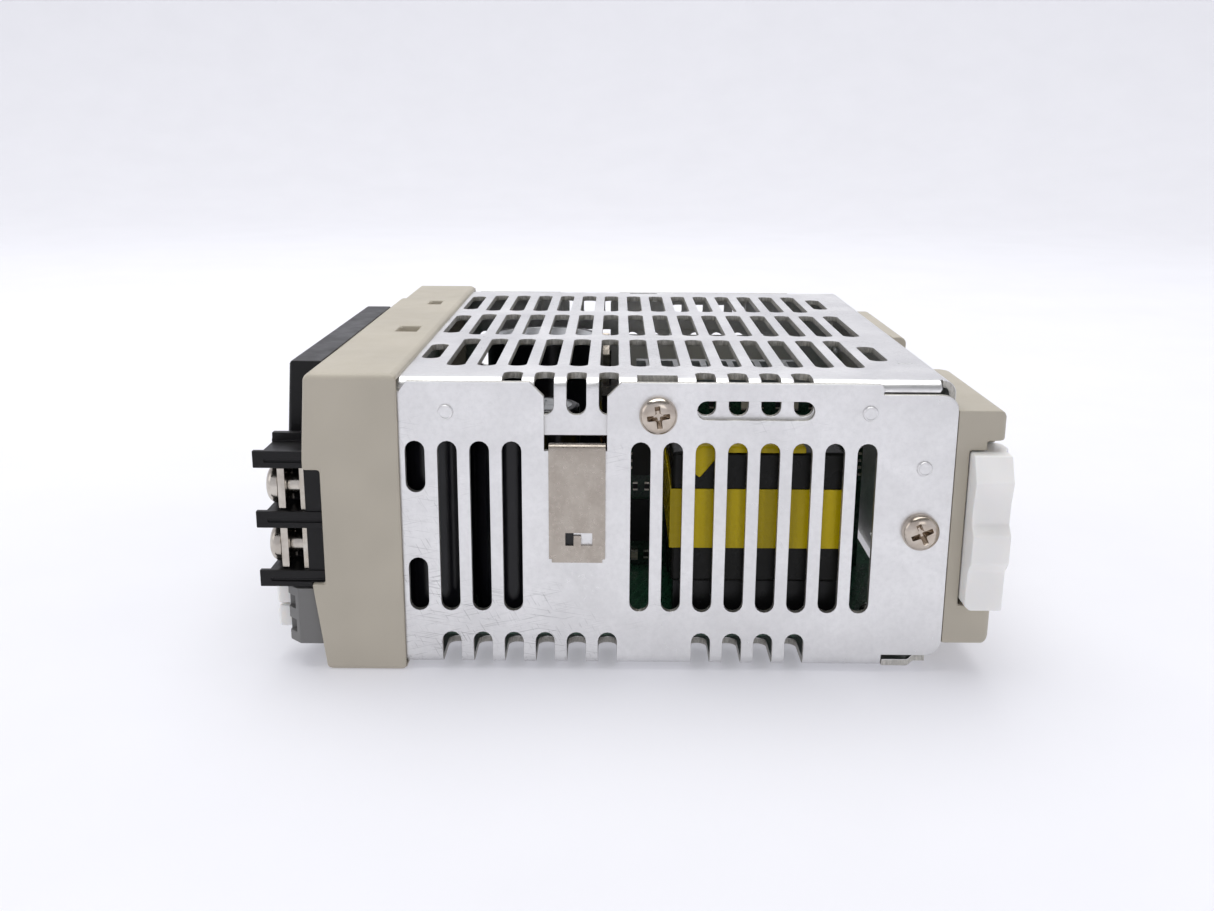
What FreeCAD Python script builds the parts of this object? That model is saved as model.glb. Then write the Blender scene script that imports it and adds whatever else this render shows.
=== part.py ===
import FreeCAD, Part
import math
import os

from FreeCAD import Vector

# A DIN-rail power supply, lying on its left side as it rests on a bench.
# +Z is up (across the unit's width), -Y is its front, +Y its rail side, and +X the end that
# hangs lowest on the rail. Everything is drawn about the case's middle and moved along X at the
# end, so that the origin is the bottom centre of the whole object. Millimetres.

# ---------------------------------------------------------------- driving dimensions
FRAME_LENGTH = 115.0      # along X
FRAME_WIDTH = 50.5        # along Z
TOTAL_DEPTH = 122.5       # along Y, terminal barriers to latch
LATCH_PROUD = 4.2         # the latch stands this far past the frame's lower end
BARRIER_PROUD = 8.1       # barriers stand this far in front of the front frame
FRAME_DEPTH = 15.75
CASE_DEPTH = 89.35        # sheet-metal case behind the front frame
FOOT_DEPTH = 8.0
SCREW_HEAD_H = 2.0        # case screws
SHEET = 1.2               # aluminium sheet
RAIL_WIDTH = 35.0
FIT_GAP = 0.05            # between parts that touch
VENT_PITCH = 5.2
VENT_WIDTH = 3.15
VENT_COLUMNS = 16

# ---------------------------------------------------------------- places worked out from them
FRAME_X0 = -FRAME_LENGTH / 2
FRAME_X1 = FRAME_LENGTH / 2
BARRIER_Y = -TOTAL_DEPTH / 2
FRAME_Y0 = BARRIER_Y + BARRIER_PROUD
SEAM_Y = FRAME_Y0 + FRAME_DEPTH
CASE_Y1 = SEAM_Y + CASE_DEPTH
FOOT_Y1 = CASE_Y1 + FOOT_DEPTH
LATCH_Y1 = TOTAL_DEPTH / 2
CASE_X0 = FRAME_X0 + 0.8
CASE_X1 = FRAME_X1 - 0.8
SCREW_PROUD = CASE_X1 + FIT_GAP + SCREW_HEAD_H - FRAME_X1
ORIGIN_SHIFT = (SCREW_PROUD - LATCH_PROUD) / 2
CASE_Z0 = 0.9
CASE_Z1 = 49.5
CHASSIS_TOP = CASE_Z1 - 0.3
CASE_Y0 = SEAM_Y - 2.5    # the sheet runs on inside the front frame
CASE_MID_Z = (CASE_Z0 + CASE_Z1) / 2

FIRST_VENT_Y = SEAM_Y + 2.45
WRAP_COLUMNS = (3, 4, 5, 6, 9, 10, 11, 12)

TERMINAL_PITCH = 10.15
BARRIER_T = 2.85
TERMINAL_ROW = 8.0        # along X, from the case's end to the row's back wall
SCREW_LIFT = 2.45         # terminal screws are backed off by this much, four turns of 0.6

PCB_Z0 = 5.2
PCB_T = 1.6
PCB_TOP = PCB_Z0 + PCB_T


# ---------------------------------------------------------------- helpers
def box(x, y, z):
    """A box from its three (low, high) ranges."""
    return Part.makeBox(x[1] - x[0], y[1] - y[0], z[1] - z[0], Vector(x[0], y[0], z[0]))


def grown(span, by):
    """A (low, high) range made wider by the same amount at both ends."""
    return (span[0] - by, span[1] + by)


def rod(start, along, radius, length):
    return Part.makeCylinder(radius, length, Vector(*start), Vector(*along))


def cone(start, along, r0, r1, length):
    return Part.makeCone(r0, r1, length, Vector(*start), Vector(*along))


def prism(points, along):
    """A flat outline of straight sides, pushed along a vector."""
    corners = [Vector(*p) for p in points]
    return Part.Face(Part.makePolygon(corners + corners[:1])).extrude(Vector(*along))


def slot(start, end, width, along):
    """A round-ended slot between two arc centres, pushed along a vector."""
    a, b, push = Vector(*start), Vector(*end), Vector(*along)
    run = (b - a).normalize()
    side = push.cross(run).normalize() * (width / 2)
    cap = run * (width / 2)
    sides = [Part.LineSegment(a + side, b + side), Part.Arc(b + side, b + cap, b - side),
             Part.LineSegment(b - side, a - side), Part.Arc(a - side, a - cap, a + side)]
    return Part.Face(Part.Wire([s.toShape() for s in sides])).extrude(push)


def turned(profile, start, along):
    """A body of revolution from (radius, height) points, standing at start and pointing along."""
    corners = [Vector(r, 0, h) for r, h in profile]
    body = Part.Face(Part.makePolygon(corners + corners[:1])).revolve(Vector(), Vector(0, 0, 1), 360)
    turn = FreeCAD.Rotation(Vector(0, 0, 1), Vector(*along))
    body.Placement = FreeCAD.Placement(Vector(*start), turn)
    return body


def strip(points, thickness, y):
    """A bent strip of sheet whose mid-line is a list of (x, z) points, as wide as the y range."""
    pieces = []
    for (x0, z0), (x1, z1) in zip(points, points[1:]):
        length = math.hypot(x1 - x0, z1 - z0)
        nx, nz = (z0 - z1) / length * thickness / 2, (x1 - x0) / length * thickness / 2
        outline = [(x0 + nx, y[0], z0 + nz), (x1 + nx, y[0], z1 + nz),
                   (x1 - nx, y[0], z1 - nz), (x0 - nx, y[0], z0 - nz)]
        pieces.append(prism(outline, (0, y[1] - y[0], 0)))
    for x, z in points[1:-1]:
        pieces.append(rod((x, y[0], z), (0, 1, 0), thickness / 2, y[1] - y[0]))
    return fuse(pieces)


def fuse(shapes):
    return shapes[0].multiFuse(shapes[1:]).removeSplitter() if len(shapes) > 1 else shapes[0]


def group(shapes):
    return Part.makeCompound(shapes)


def round_edges(shape, radius, chosen):
    """Fillets the edges whose two ends both pass the test."""
    edges = [e for e in shape.Edges if len(e.Vertexes) == 2 and all(chosen(v.Point) for v in e.Vertexes)]
    return shape.makeFillet(radius, edges) if edges else shape


def near(a, b):
    return abs(a - b) < 1e-3


def other_end(shape):
    """The same piece at the case's other end."""
    return shape.mirror(Vector(0, 0, 0), Vector(1, 0, 0))


def vent_y(column):
    return FIRST_VENT_Y + VENT_PITCH * column


# ---------------------------------------------------------------- sheet-metal case
END_SLOT_Z = (10.5, 39.5)
NOTCH_TOP = 6.7
NOTCH_REACH = 7.8         # how far wrap-round slots run onto the floor and the cover
UPPER_REACH = 4.1         # the same on the cover at the upper end
WINDOW_Y = (-14.1, -4.0)
WINDOW_Z0 = 38.0
FLANGE_Z0 = 40.3
CASE_SCREWS = ((4.15, 44.0), (47.1, 24.9))          # (y, z) on an end face
BOSSES = ((-29.8, 44.3), (37.9, 44.5), (47.1, 35.5))
LONG_WINDOW_Y = (10.35, 29.1)
LONG_WINDOW_Z = (43.2, 46.3)
ROWS_X = ((-12.6, -40.7), (-45.1, -72.9), (-77.7, -103.7))  # back from the case's +X end


def end_slots():
    """Long vents through an end face; the first is split in two."""
    r = VENT_WIDTH / 2
    spans = {k: [END_SLOT_Z] for k in (1, 2, 3, 7, 8, 9, 10, 11, 12, 13, 14)}
    spans[0] = [(30.9, END_SLOT_Z[1]), (END_SLOT_Z[0], 19.7)]
    cuts = []
    for column, ranges in spans.items():
        y = vent_y(column)
        for z0, z1 in ranges:
            cuts.append(slot((CASE_X1 - 2, y, z0 + r), (CASE_X1 - 2, y, z1 - r), VENT_WIDTH, (4, 0, 0)))
    return cuts


def floor_notches():
    """Slots that wrap from an end face round the bend onto the floor."""
    cuts = []
    for column in (1, 2, 3, 4, 5, 6, 9, 10, 11, 12):
        y, r = vent_y(column), VENT_WIDTH / 2
        cuts.append(slot((CASE_X1 - 3, y, -2), (CASE_X1 - 3, y, NOTCH_TOP - r), VENT_WIDTH, (6, 0, 0)))
        cuts.append(slot((CASE_X1 - NOTCH_REACH, y, -1), (CASE_X1 + 2, y, -1), VENT_WIDTH, (0, 0, 4.5)))
    return cuts


def panel_rows(z0, depth):
    """Three rows of sixteen vents through a large flat panel; the end columns are shorter."""
    cuts = []
    r = VENT_WIDTH / 2
    for row, (x1, x0) in enumerate(ROWS_X):
        for column in range(VENT_COLUMNS):
            first, last = column == 0, column == VENT_COLUMNS - 1
            trim = 0.0
            if row == 0 and (first or last):
                trim = 6.5
            elif first:
                trim = 2.0
            elif last and row == 2:
                trim = 5.0
            y = vent_y(column)
            start, end = CASE_X1 + x1 - trim - r, CASE_X1 + x0 + trim + r
            cuts.append(slot((start, y, z0), (end, y, z0), VENT_WIDTH, (0, 0, depth)))
    return cuts


def end_window():
    """The clip's window, open at the top of an end face, with chamfered shoulders."""
    y0, y1 = WINDOW_Y
    c = 2.3
    top = CHASSIS_TOP
    outline = [(y0, WINDOW_Z0), (y1, WINDOW_Z0), (y1, top - c), (y1 + c, top), (y1 + c, top + 2),
               (y0 - c, top + 2), (y0 - c, top), (y0, top - c)]
    return prism([(CASE_X1 - 2, y, z) for y, z in outline], (4, 0, 0))


def end_corner_cuts():
    """Shoulder, low rear edge and rounded corners of an end face."""
    x = (CASE_X1 - 2.2, CASE_X1 + 2)
    above = CHASSIS_TOP + 1
    shoulder = [(SEAM_Y - 3, 47.6), (SEAM_Y + 0.2, 47.6), (SEAM_Y + 2.1, above), (SEAM_Y - 3, above)]
    front = prism([(x[0], y, z) for y, z in shoulder], (4.2, 0, 0))
    low_edge = box(x, (39.9, CASE_Y1 + 1), (47.5, CHASSIS_TOP + 1))
    foot_gap = box(x, (42.1, CASE_Y1 + 1), (0, 3.1))
    corners = []
    for z, turn in ((47.5, -1), (3.1, 1)):
        block = box(x, (CASE_Y1 - 2.5, CASE_Y1 + 1), tuple(sorted((z, z + turn * 2.5))))
        corners.append(block.cut(rod((x[0], CASE_Y1 - 2.5, z + turn * 2.5), (1, 0, 0), 2.5, 5)))
    return [front, low_edge, foot_gap] + corners


def end_face_cuts():
    screw_holes = [rod((CASE_X1 - 2, y, z), (1, 0, 0), 1.8, 4) for y, z in CASE_SCREWS]
    z = sum(LONG_WINDOW_Z) / 2
    r = (LONG_WINDOW_Z[1] - LONG_WINDOW_Z[0]) / 2
    long_window = slot((CASE_X1 - 2, LONG_WINDOW_Y[0] + r, z), (CASE_X1 - 2, LONG_WINDOW_Y[1] - r, z),
                       2 * r, (4, 0, 0))
    return end_slots() + floor_notches() + [end_window(), long_window] + end_corner_cuts() + screw_holes


def base_chassis():
    """Floor and both end faces in one bent sheet, with a jogged lip at the rear of the floor."""
    y = (CASE_Y0, CASE_Y1)
    outer = box((CASE_X0, CASE_X1), y, (CASE_Z0, CHASSIS_TOP))
    outer = round_edges(outer, 1.8, lambda p: near(p.z, CASE_Z0) and p.x in (CASE_X0, CASE_X1))
    inner = box((CASE_X0 + SHEET, CASE_X1 - SHEET), (y[0] - 1, y[1] + 1), (CASE_Z0 + SHEET, CHASSIS_TOP + 5))
    inner = round_edges(inner, 0.6, lambda p: near(p.z, CASE_Z0 + SHEET))
    shell = outer.cut(inner)
    lip_y = (46.5, 47.7, 49.5)
    shell = shell.cut(box((CASE_X0 - 1, CASE_X1 + 1), (lip_y[0], CASE_Y1 + 1), (0, 3.05)))
    lift = 0.9
    lip = [(lip_y[0] - 1, 0), (lip_y[0], 0), (lip_y[1], lift), (lip_y[2], lift), (lip_y[2], lift + SHEET),
           (lip_y[1] - 0.4, lift + SHEET), (lip_y[0] - 0.4, SHEET), (lip_y[0] - 1, SHEET)]
    lip = prism([(CASE_X0 + 0.6, a, CASE_Z0 + b) for a, b in lip], (CASE_X1 - CASE_X0 - 1.2, 0, 0))
    shell = fuse([shell, lip])
    cuts = end_face_cuts()
    cuts += [other_end(c) for c in cuts]
    cuts += panel_rows(CASE_Z0 - 1, SHEET + 2)
    cuts += [rod((x, y, CASE_Z0 - 1), (0, 0, 1), 1.7, 4) for x, y in BOARD_SCREWS]
    shell = shell.cut(cuts)
    boss = [(0, -0.1), (1.15, -0.1), (1.15, 0.25), (0.95, 0.4), (0, 0.4)]
    bosses = [turned(boss, (CASE_X1, y, z), (1, 0, 0)) for y, z in BOSSES]
    return fuse([shell] + bosses + [other_end(b) for b in bosses])


def top_cover():
    """Large panel with flanges inside both end faces and a rear wall, in one bent sheet."""
    x = (CASE_X0 + SHEET + FIT_GAP, CASE_X1 - SHEET - FIT_GAP)
    t = SHEET
    outer = box(x, (CASE_Y0, CASE_Y1), (3.4, CASE_Z1))
    outer = round_edges(outer, 2.2, lambda p: near(p.z, CASE_Z1))
    inner = box((x[0] + t, x[1] - t), (CASE_Y0 - 1, CASE_Y1 - t), (3.3, CASE_Z1 - t))
    inner = round_edges(inner, 1.0, lambda p: near(p.z, CASE_Z1 - t) and p.y < CASE_Y1)
    shell = outer.cut(inner)
    keep = [box((CASE_X0, CASE_X1), (CASE_Y0 - 1, CASE_Y1 + 1), (FLANGE_Z0, CASE_Z1 + 1)),
            box((x[0] + t, x[1] - t), (CASE_Y1 - t - 1, CASE_Y1 + 1), (3.3, FLANGE_Z0 + 1)),
            box((CASE_X0, CASE_X1), (CASE_Y1 - 9.5, CASE_Y1 + 1), (17.5, 33))]
    shell = shell.common(fuse(keep))
    cuts = panel_rows(CASE_Z1 - SHEET - 1, SHEET + 2)
    end_cuts = []
    for column in WRAP_COLUMNS:
        y, r = vent_y(column), VENT_WIDTH / 2
        near_end, far_end = CASE_X1 - NOTCH_REACH + r, CASE_X0 + UPPER_REACH - r
        cuts.append(slot((near_end, y, 47.5), (CASE_X1 + 2, y, 47.5), VENT_WIDTH, (0, 0, 3)))
        cuts.append(slot((CASE_X0 - 2, y, 47.5), (far_end, y, 47.5), VENT_WIDTH, (0, 0, 3)))
        end_cuts.append(slot((CASE_X1 - 4.0, y, 43.6 + r), (CASE_X1 - 4.0, y, 60), VENT_WIDTH, (5, 0, 0)))
    end_cuts.append(box((CASE_X1 - 5.4, CASE_X1), (0.8, 7.3), (47.4, 60)))
    end_cuts.append(box((CASE_X1 - 17.4, CASE_X1 - 16.9), (45.7, 48.2), (47, 51)))
    low = FLANGE_Z0 - 1
    end_cuts.append(box((CASE_X1 - 4.4, CASE_X1), (39.9, CASE_Y1 + 1), (low, CASE_Z1 - SHEET - 0.6)))
    end_cuts.append(box((CASE_X1 - 3.4, CASE_X1), (CASE_Y1 - 2.6, CASE_Y1 + 1), (low, CASE_Z1 + 1)))
    end_cuts += [rod((CASE_X1 - 4, y, z), (1, 0, 0), 1.55, 4) for y, z in CASE_SCREWS]
    cuts += end_cuts + [other_end(c) for c in end_cuts]
    cuts += [rod((x0, CASE_Y1 - 2, z0), (0, 1, 0), 1.6, 4) for x0, z0 in FOOT_SCREWS]
    return shell.cut(cuts)


def pan_screw(start, along, head_r, head_h, shank_r, length):
    """A pan head with a cross recess; start is the underside of the head, along points out of it."""
    profile = [(0, -length), (shank_r * 0.6, -length), (shank_r, 0.8 - length), (shank_r, 0), (head_r, 0),
               (head_r, head_h * 0.35), (head_r * 0.93, head_h * 0.62), (head_r * 0.78, head_h * 0.83),
               (head_r * 0.5, head_h), (0, head_h)]
    body = turned(profile, (0, 0, 0), (0, 0, 1))
    arm, half = head_r * 0.62, head_r * 0.13
    for a, b in ((arm, half), (half, arm)):
        body = body.cut(box((-a, a), (-b, b), (head_h * 0.35, head_h + 1)))
    body = body.cut(cone((0, 0, head_h * 0.15), (0, 0, 1), 0.2, head_r * 0.36, head_h * 0.86))
    turn = FreeCAD.Rotation(Vector(0, 0, 1), Vector(*along))
    body.Placement = FreeCAD.Placement(Vector(*start), turn)
    return body


def case_screws():
    seat = CASE_X1 + FIT_GAP
    screws = [pan_screw((seat, y, z), (1, 0, 0), 3.05, SCREW_HEAD_H, 1.5, 5.0) for y, z in CASE_SCREWS]
    return group(screws + [other_end(s) for s in screws])


# ---------------------------------------------------------------- semiconductors and their clips
CLIP_Y = (-13.4, -4.2)
CLIP_T = 0.5


def spring_clip():
    """A bent strip: tail outside the end face, rolled over the window's sill, inner leg pressing in."""
    x_out = CASE_X1 + FIT_GAP + CLIP_T / 2
    roll_x = CASE_X1 - SHEET / 2
    roll = x_out - roll_x
    arc = [(roll_x + roll * math.cos(a), WINDOW_Z0 + roll * math.sin(a))
           for a in (math.pi * i / 12 for i in range(13))]
    tail = [(x_out, 19.2)]
    leg = [(CASE_X1 - 6.4, 34.6), (CASE_X1 - 6.1, 27.0), (CASE_X1 - 7.2, 23.4)]
    clip = strip(tail + arc + leg, CLIP_T, CLIP_Y)
    mid = sum(CLIP_Y) / 2
    cuts = [box((CASE_X1 - 0.5, CASE_X1 + 2), (mid - 1.1, mid + 2.5), (22.6, 24.0))]
    for y in CLIP_Y:
        cuts.append(box((CASE_X1 - 0.5, CASE_X1 + 2), (y - 0.45, y + 0.45), (19.0, 19.8)))
    return clip.cut(cuts)


def power_device():
    """A three-legged power semiconductor flat against the end face, under the clip."""
    mid = sum(CLIP_Y) / 2
    x1 = CASE_X1 - SHEET - FIT_GAP
    tab = box((x1 - 1.3, x1), (mid - 5, mid + 5), (20.0, 35.0))
    body = box((x1 - 4.5, x1 - 1.3), (mid - 5, mid + 5), (20.0, 29.0))
    tab = tab.cut(rod((x1 - 2, mid, 32.2), (1, 0, 0), 1.8, 4))
    legs = [box((x1 - 2.9, x1 - 2.4), (mid + k * 2.54 - 0.4, mid + k * 2.54 + 0.4), (PCB_TOP, 20.0))
            for k in (-1, 0, 1)]
    return fuse([tab, body] + legs)


# ---------------------------------------------------------------- front frame and panel
PANEL_X = (-22.5, 44.2)   # raised part of the panel
PANEL_PROUD = 5.5
PANEL_Y0 = FRAME_Y0 - PANEL_PROUD
STEP_X = -47.2            # the lower step of the panel ends here
FRAME_WALL = 2.0
LOW_EDGE_X = -33.4        # beyond this the frame's front edge is set back
CORNER_Z = 38.95          # top of the terminal opening at the +X end
INPUT_BARRIER_Z = 7.6
OUTPUT_BARRIER_Z = 14.45
OUTPUT_NOTCH_Z = (15.2, 34.6)   # the frame's end walls are cut back here for the cheeks
INPUT_NOTCH_Z = (8.4, 37.9)
NOTCH_DEPTH = 2.8


def front_outline(proud, z0, z1):
    """(y, z) points of the slightly crowned front, proud of the frame's own front."""
    y = FRAME_Y0 - proud
    return [(y + 2.5, z0), (y + 0.6, 15.2), (y, 25.0), (y, 36.5), (y + 1.0, z1)]


def front_frame():
    """Moulded frame: crowned front, open rear, openings for the panel and terminals."""
    outline = front_outline(0, 0, FRAME_WIDTH) + [(SEAM_Y, FRAME_WIDTH), (SEAM_Y, 0)]
    outer = prism([(FRAME_X0, y, z) for y, z in outline], (FRAME_LENGTH, 0, 0))
    outer = round_edges(outer, 1.2, lambda p: near(p.z, FRAME_WIDTH) and near(abs(p.x), FRAME_X1))
    outer = round_edges(outer, 0.8, lambda p: near(p.z, 0) and near(abs(p.x), FRAME_X1))
    w = FRAME_WALL
    hollow = box((FRAME_X0 + w, FRAME_X1 - w), (FRAME_Y0 + 4.5, SEAM_Y + 1), (w, FRAME_WIDTH - w))
    rebate = box((CASE_X0 - FIT_GAP, CASE_X1 + FIT_GAP), (CASE_Y0 - FIT_GAP, SEAM_Y + 1),
                 (CASE_Z0 - FIT_GAP, CASE_Z1 + FIT_GAP))
    front = FRAME_Y0 - 1
    behind = FRAME_Y0 + 6
    cuts = [hollow, rebate,
            box((STEP_X - 0.2, PANEL_X[1] + 0.2), (front, behind), (3.0, 47.0)),
            box((PANEL_X[1] - 1, FRAME_X1 - w), (front, behind), (3.0, CORNER_Z + 0.2)),
            box((FRAME_X0 + w, STEP_X + 1), (front, behind), (3.0, 43.4)),
            box((FRAME_X1 - 3, FRAME_X1 + 1), (front, FRAME_Y0 + NOTCH_DEPTH), OUTPUT_NOTCH_Z),
            box((FRAME_X0 - 1, FRAME_X0 + 3), (front, FRAME_Y0 + NOTCH_DEPTH), INPUT_NOTCH_Z),
            box((FRAME_X0 - 1, LOW_EDGE_X), (front, FRAME_Y0 + 2.3), (46.0, FRAME_WIDTH + 1)),
            box((28.2, 34.9), (front, FRAME_Y0 + 1.4), (49.0, FRAME_WIDTH + 1)),
            box((7.7, 14.6), (FRAME_Y0 + 8.2, FRAME_Y0 + 12.2), (48.6, FRAME_WIDTH + 1)),
            box((-29.5, -23.5), (FRAME_Y0 + 8.8, FRAME_Y0 + 11.5), (48.6, FRAME_WIDTH + 1))]
    return outer.cut(cuts)


BUTTONS = (("mode_button", 14.0), ("up_button", 25.0), ("down_button", 36.0))
BUTTON_X = 10.0
BUTTON_R = 2.2
DISPLAY_X = (-14.0, -1.0)
DISPLAY_Z = (11.0, 39.0)
LED_Z = (14.0, 25.0, 36.0)
LED_X = 19.5
TRIMMER_AT = (-35.5, 14.0)
TRIMMER_R = 2.6
STEP_Y = FRAME_Y0 + 1.6   # face of the lower step


def front_panel():
    """Raised cap over most of the front with a lower step towards the upper end."""
    t = 1.8
    z = (0.9, FRAME_WIDTH - 0.4)
    cap = front_outline(PANEL_PROUD, z[0], z[1]) + [(FRAME_Y0 + 1.2, z[1]), (FRAME_Y0 + 2.7, z[0])]
    cap = prism([(PANEL_X[0], y, zz) for y, zz in cap], (PANEL_X[1] - PANEL_X[0], 0, 0))
    plug = box((PANEL_X[0], PANEL_X[1]), (FRAME_Y0, FRAME_Y0 + 5.9), (3.1, 46.9))
    frame_seat = front_outline(FIT_GAP, 0, FRAME_WIDTH) + [(SEAM_Y, FRAME_WIDTH + 1), (SEAM_Y, -1)]
    width = PANEL_X[1] - PANEL_X[0]
    frame_seat = prism([(PANEL_X[0] - 1, y, zz) for y, zz in frame_seat], (width + 2, 0, 0))
    cap = cap.cut(frame_seat)
    cap = round_edges(cap, 0.7, lambda p: p.y < FRAME_Y0 - 3.4 and not near(p.z, 0.9))
    body = fuse([cap, plug])
    inside = box((PANEL_X[0] + t, PANEL_X[1] - t), (PANEL_Y0 + 2.6, FRAME_Y0 + 7), (4.9, 45.1))
    body = body.cut(inside)
    step = box((STEP_X, PANEL_X[0] + t), (STEP_Y, FRAME_Y0 + 5.9), (3.1, 46.9))
    step = step.cut(box((STEP_X + t, PANEL_X[0]), (STEP_Y + t, FRAME_Y0 + 7), (4.9, 45.1)))
    body = fuse([body, step])
    front = PANEL_Y0 - 1
    cuts = [rod((BUTTON_X, front, z0), (0, 1, 0), BUTTON_R + 0.12, 8) for _, z0 in BUTTONS]
    cuts += [rod((LED_X, front, z0), (0, 1, 0), 1.15, 8) for z0 in LED_Z]
    cuts.append(box(DISPLAY_X, (front, FRAME_Y0), DISPLAY_Z))
    cuts.append(rod((TRIMMER_AT[0], STEP_Y - 1, TRIMMER_AT[1]), (0, 1, 0), TRIMMER_R + 0.1, 5))
    return body.cut(cuts)


def display_window():
    """Pane in the panel's opening, held by a wider rim behind it."""
    rim = box(grown(DISPLAY_X, 1.2), (PANEL_Y0 + 2.65, PANEL_Y0 + 3.6), grown(DISPLAY_Z, 1.2))
    pane = box(grown(DISPLAY_X, -0.05), (PANEL_Y0 + 0.75, PANEL_Y0 + 2.7), grown(DISPLAY_Z, -0.05))
    return fuse([rim, pane])


def display_module():
    """A three-digit block with raised segment bars."""
    y0 = PANEL_Y0 + 3.9
    body = box(grown(DISPLAY_X, -0.5), (y0, y0 + 5.0), grown(DISPLAY_Z, -0.5))
    pins = [rod((x, y0 + 5.0, z), (0, 1, 0), 0.25, DISPLAY_BOARD_Y - y0 - 5.0)
            for x in (DISPLAY_X[0] + 1.5, DISPLAY_X[1] - 1.5) for z in (15, 20, 25, 30, 35)]
    return fuse([body] + pins)


DISPLAY_BOARD_Y = FRAME_Y0 + 6.3


def display_board():
    """Board behind the panel that carries display, indicators, switches and trimmer."""
    board = box((-46.5, 43.0), (DISPLAY_BOARD_Y, DISPLAY_BOARD_Y + PCB_T), (4.0, 46.0))
    return board


def indicator_lights():
    """Light pipes of the three indicators, each down to the display board."""
    y0 = PANEL_Y0 - 0.3
    length = DISPLAY_BOARD_Y - y0
    profile = [(0, 0), (0.8, 0), (1.1, 0.3), (1.1, length), (0, length)]
    return group([turned(profile, (LED_X, y0, z), (0, 1, 0)) for z in LED_Z])


def panel_button(z):
    """A round key cap with a dished face, a collar behind the panel and a stem to its switch."""
    y0 = PANEL_Y0 - 0.9
    back = PANEL_Y0 + 2.65
    stem_end = DISPLAY_BOARD_Y - 2.6
    profile = [(0, 0.25), (BUTTON_R * 0.6, 0.12), (BUTTON_R * 0.85, 0), (BUTTON_R, 0.2),
               (BUTTON_R, back - y0),
               (BUTTON_R + 0.8, back - y0), (BUTTON_R + 0.8, back - y0 + 0.9), (1.3, back - y0 + 0.9),
               (1.3, stem_end - y0), (0, stem_end - y0)]
    return turned(profile, (BUTTON_X, y0, z), (0, 1, 0))


def key_switches():
    """Tactile switches on the display board, one behind each key."""
    y = (DISPLAY_BOARD_Y - 1.7, DISPLAY_BOARD_Y)
    x = grown((BUTTON_X, BUTTON_X), 2.8)
    return group([box(x, y, grown((z, z), 2.8)) for _, z in BUTTONS])


def voltage_trimmer():
    """A screwdriver-slotted rotor that turns in the lower step."""
    x, z = TRIMMER_AT
    y0 = STEP_Y - 0.3
    length = DISPLAY_BOARD_Y - 2.2 - y0
    profile = [(0, 0), (TRIMMER_R - 0.3, 0), (TRIMMER_R, 0.3), (TRIMMER_R, 1.9), (1.4, 1.9), (1.4, length),
               (0, length)]
    rotor = turned(profile, (x, y0, z), (0, 1, 0))
    return rotor.cut([box((x - 2.0, x + 2.0), (y0 - 1, y0 + 1.0), (z - 0.4, z + 0.4))])


def trimmer_base():
    x, z = TRIMMER_AT
    return box((x - 3.5, x + 3.5), (DISPLAY_BOARD_Y - 2.1, DISPLAY_BOARD_Y), (z - 3.5, z + 3.5))


# ---------------------------------------------------------------- terminals
TERMINAL_X = CASE_X1 - 4.15
BUS_Y = FRAME_Y0 - 0.85          # front of the conductor plates
HEAD_R = 3.25
HEAD_H = 2.3
WASHER_T = 1.2
CLAMP_Y = BUS_Y - SCREW_LIFT - WASHER_T


def pole_z(first_barrier, pole):
    return first_barrier + BARRIER_T + (TERMINAL_PITCH - BARRIER_T) / 2 + TERMINAL_PITCH * pole


def end_wall_room(notch_z):
    """The space of the frame's +X end wall, with a little clearance; nothing else may use it."""
    outline = front_outline(FIT_GAP, 0, FRAME_WIDTH) + [(SEAM_Y, FRAME_WIDTH), (SEAM_Y, 0)]
    x0 = FRAME_X1 - FRAME_WALL - FIT_GAP
    wall = prism([(x0, y, z) for y, z in outline], (FRAME_WALL + 1, 0, 0))
    notch = box((x0 - 1, FRAME_X1 + 2), (FRAME_Y0 - 2, FRAME_Y0 + NOTCH_DEPTH - FIT_GAP),
                (notch_z[0] + FIT_GAP, notch_z[1] - FIT_GAP))
    return wall.cut(notch)


def terminal_block(first_barrier, poles, wall_top, notch_z, shoulder):
    """Barrier strip at the +X end: finned barriers, a back wall and a body behind the conductors."""
    x_back = CASE_X1 - TERMINAL_ROW
    low = first_barrier
    high = first_barrier + TERMINAL_PITCH * poles + BARRIER_T
    pieces = [box((x_back - shoulder, CASE_X1 - 0.4), (BUS_Y + 0.8, FRAME_Y0 + 5.8), (low, high)),
              box((x_back - 1.4, x_back), (BARRIER_Y + 1.2, BUS_Y + 1), (low, wall_top))]
    for k in range(poles + 1):
        z0 = first_barrier + TERMINAL_PITCH * k
        thin = (z0 + 0.3, z0 + BARRIER_T - 0.3)
        fin = box((x_back - 0.1, CASE_X1 - 0.9), (BARRIER_Y + 1.3, BUS_Y + 1), thin)
        cheek = box((CASE_X1 - 1.0, CASE_X1), (BARRIER_Y, FRAME_Y0 + 2.7), (z0, z0 + BARRIER_T))
        groove = box((CASE_X1 - 0.35, CASE_X1 + 1), (BARRIER_Y + 1.9, FRAME_Y0 + 4), (z0 + 1.0, z0 + 1.45))
        pieces += [fin, cheek.cut(groove)]
    block = fuse(pieces)
    holes = []
    for pole in range(poles):
        z = pole_z(first_barrier, pole)
        holes.append(rod((TERMINAL_X, BUS_Y, z), (0, 1, 0), 2.2, 6.1))
    return block.cut(holes + [end_wall_room(notch_z)])


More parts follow.
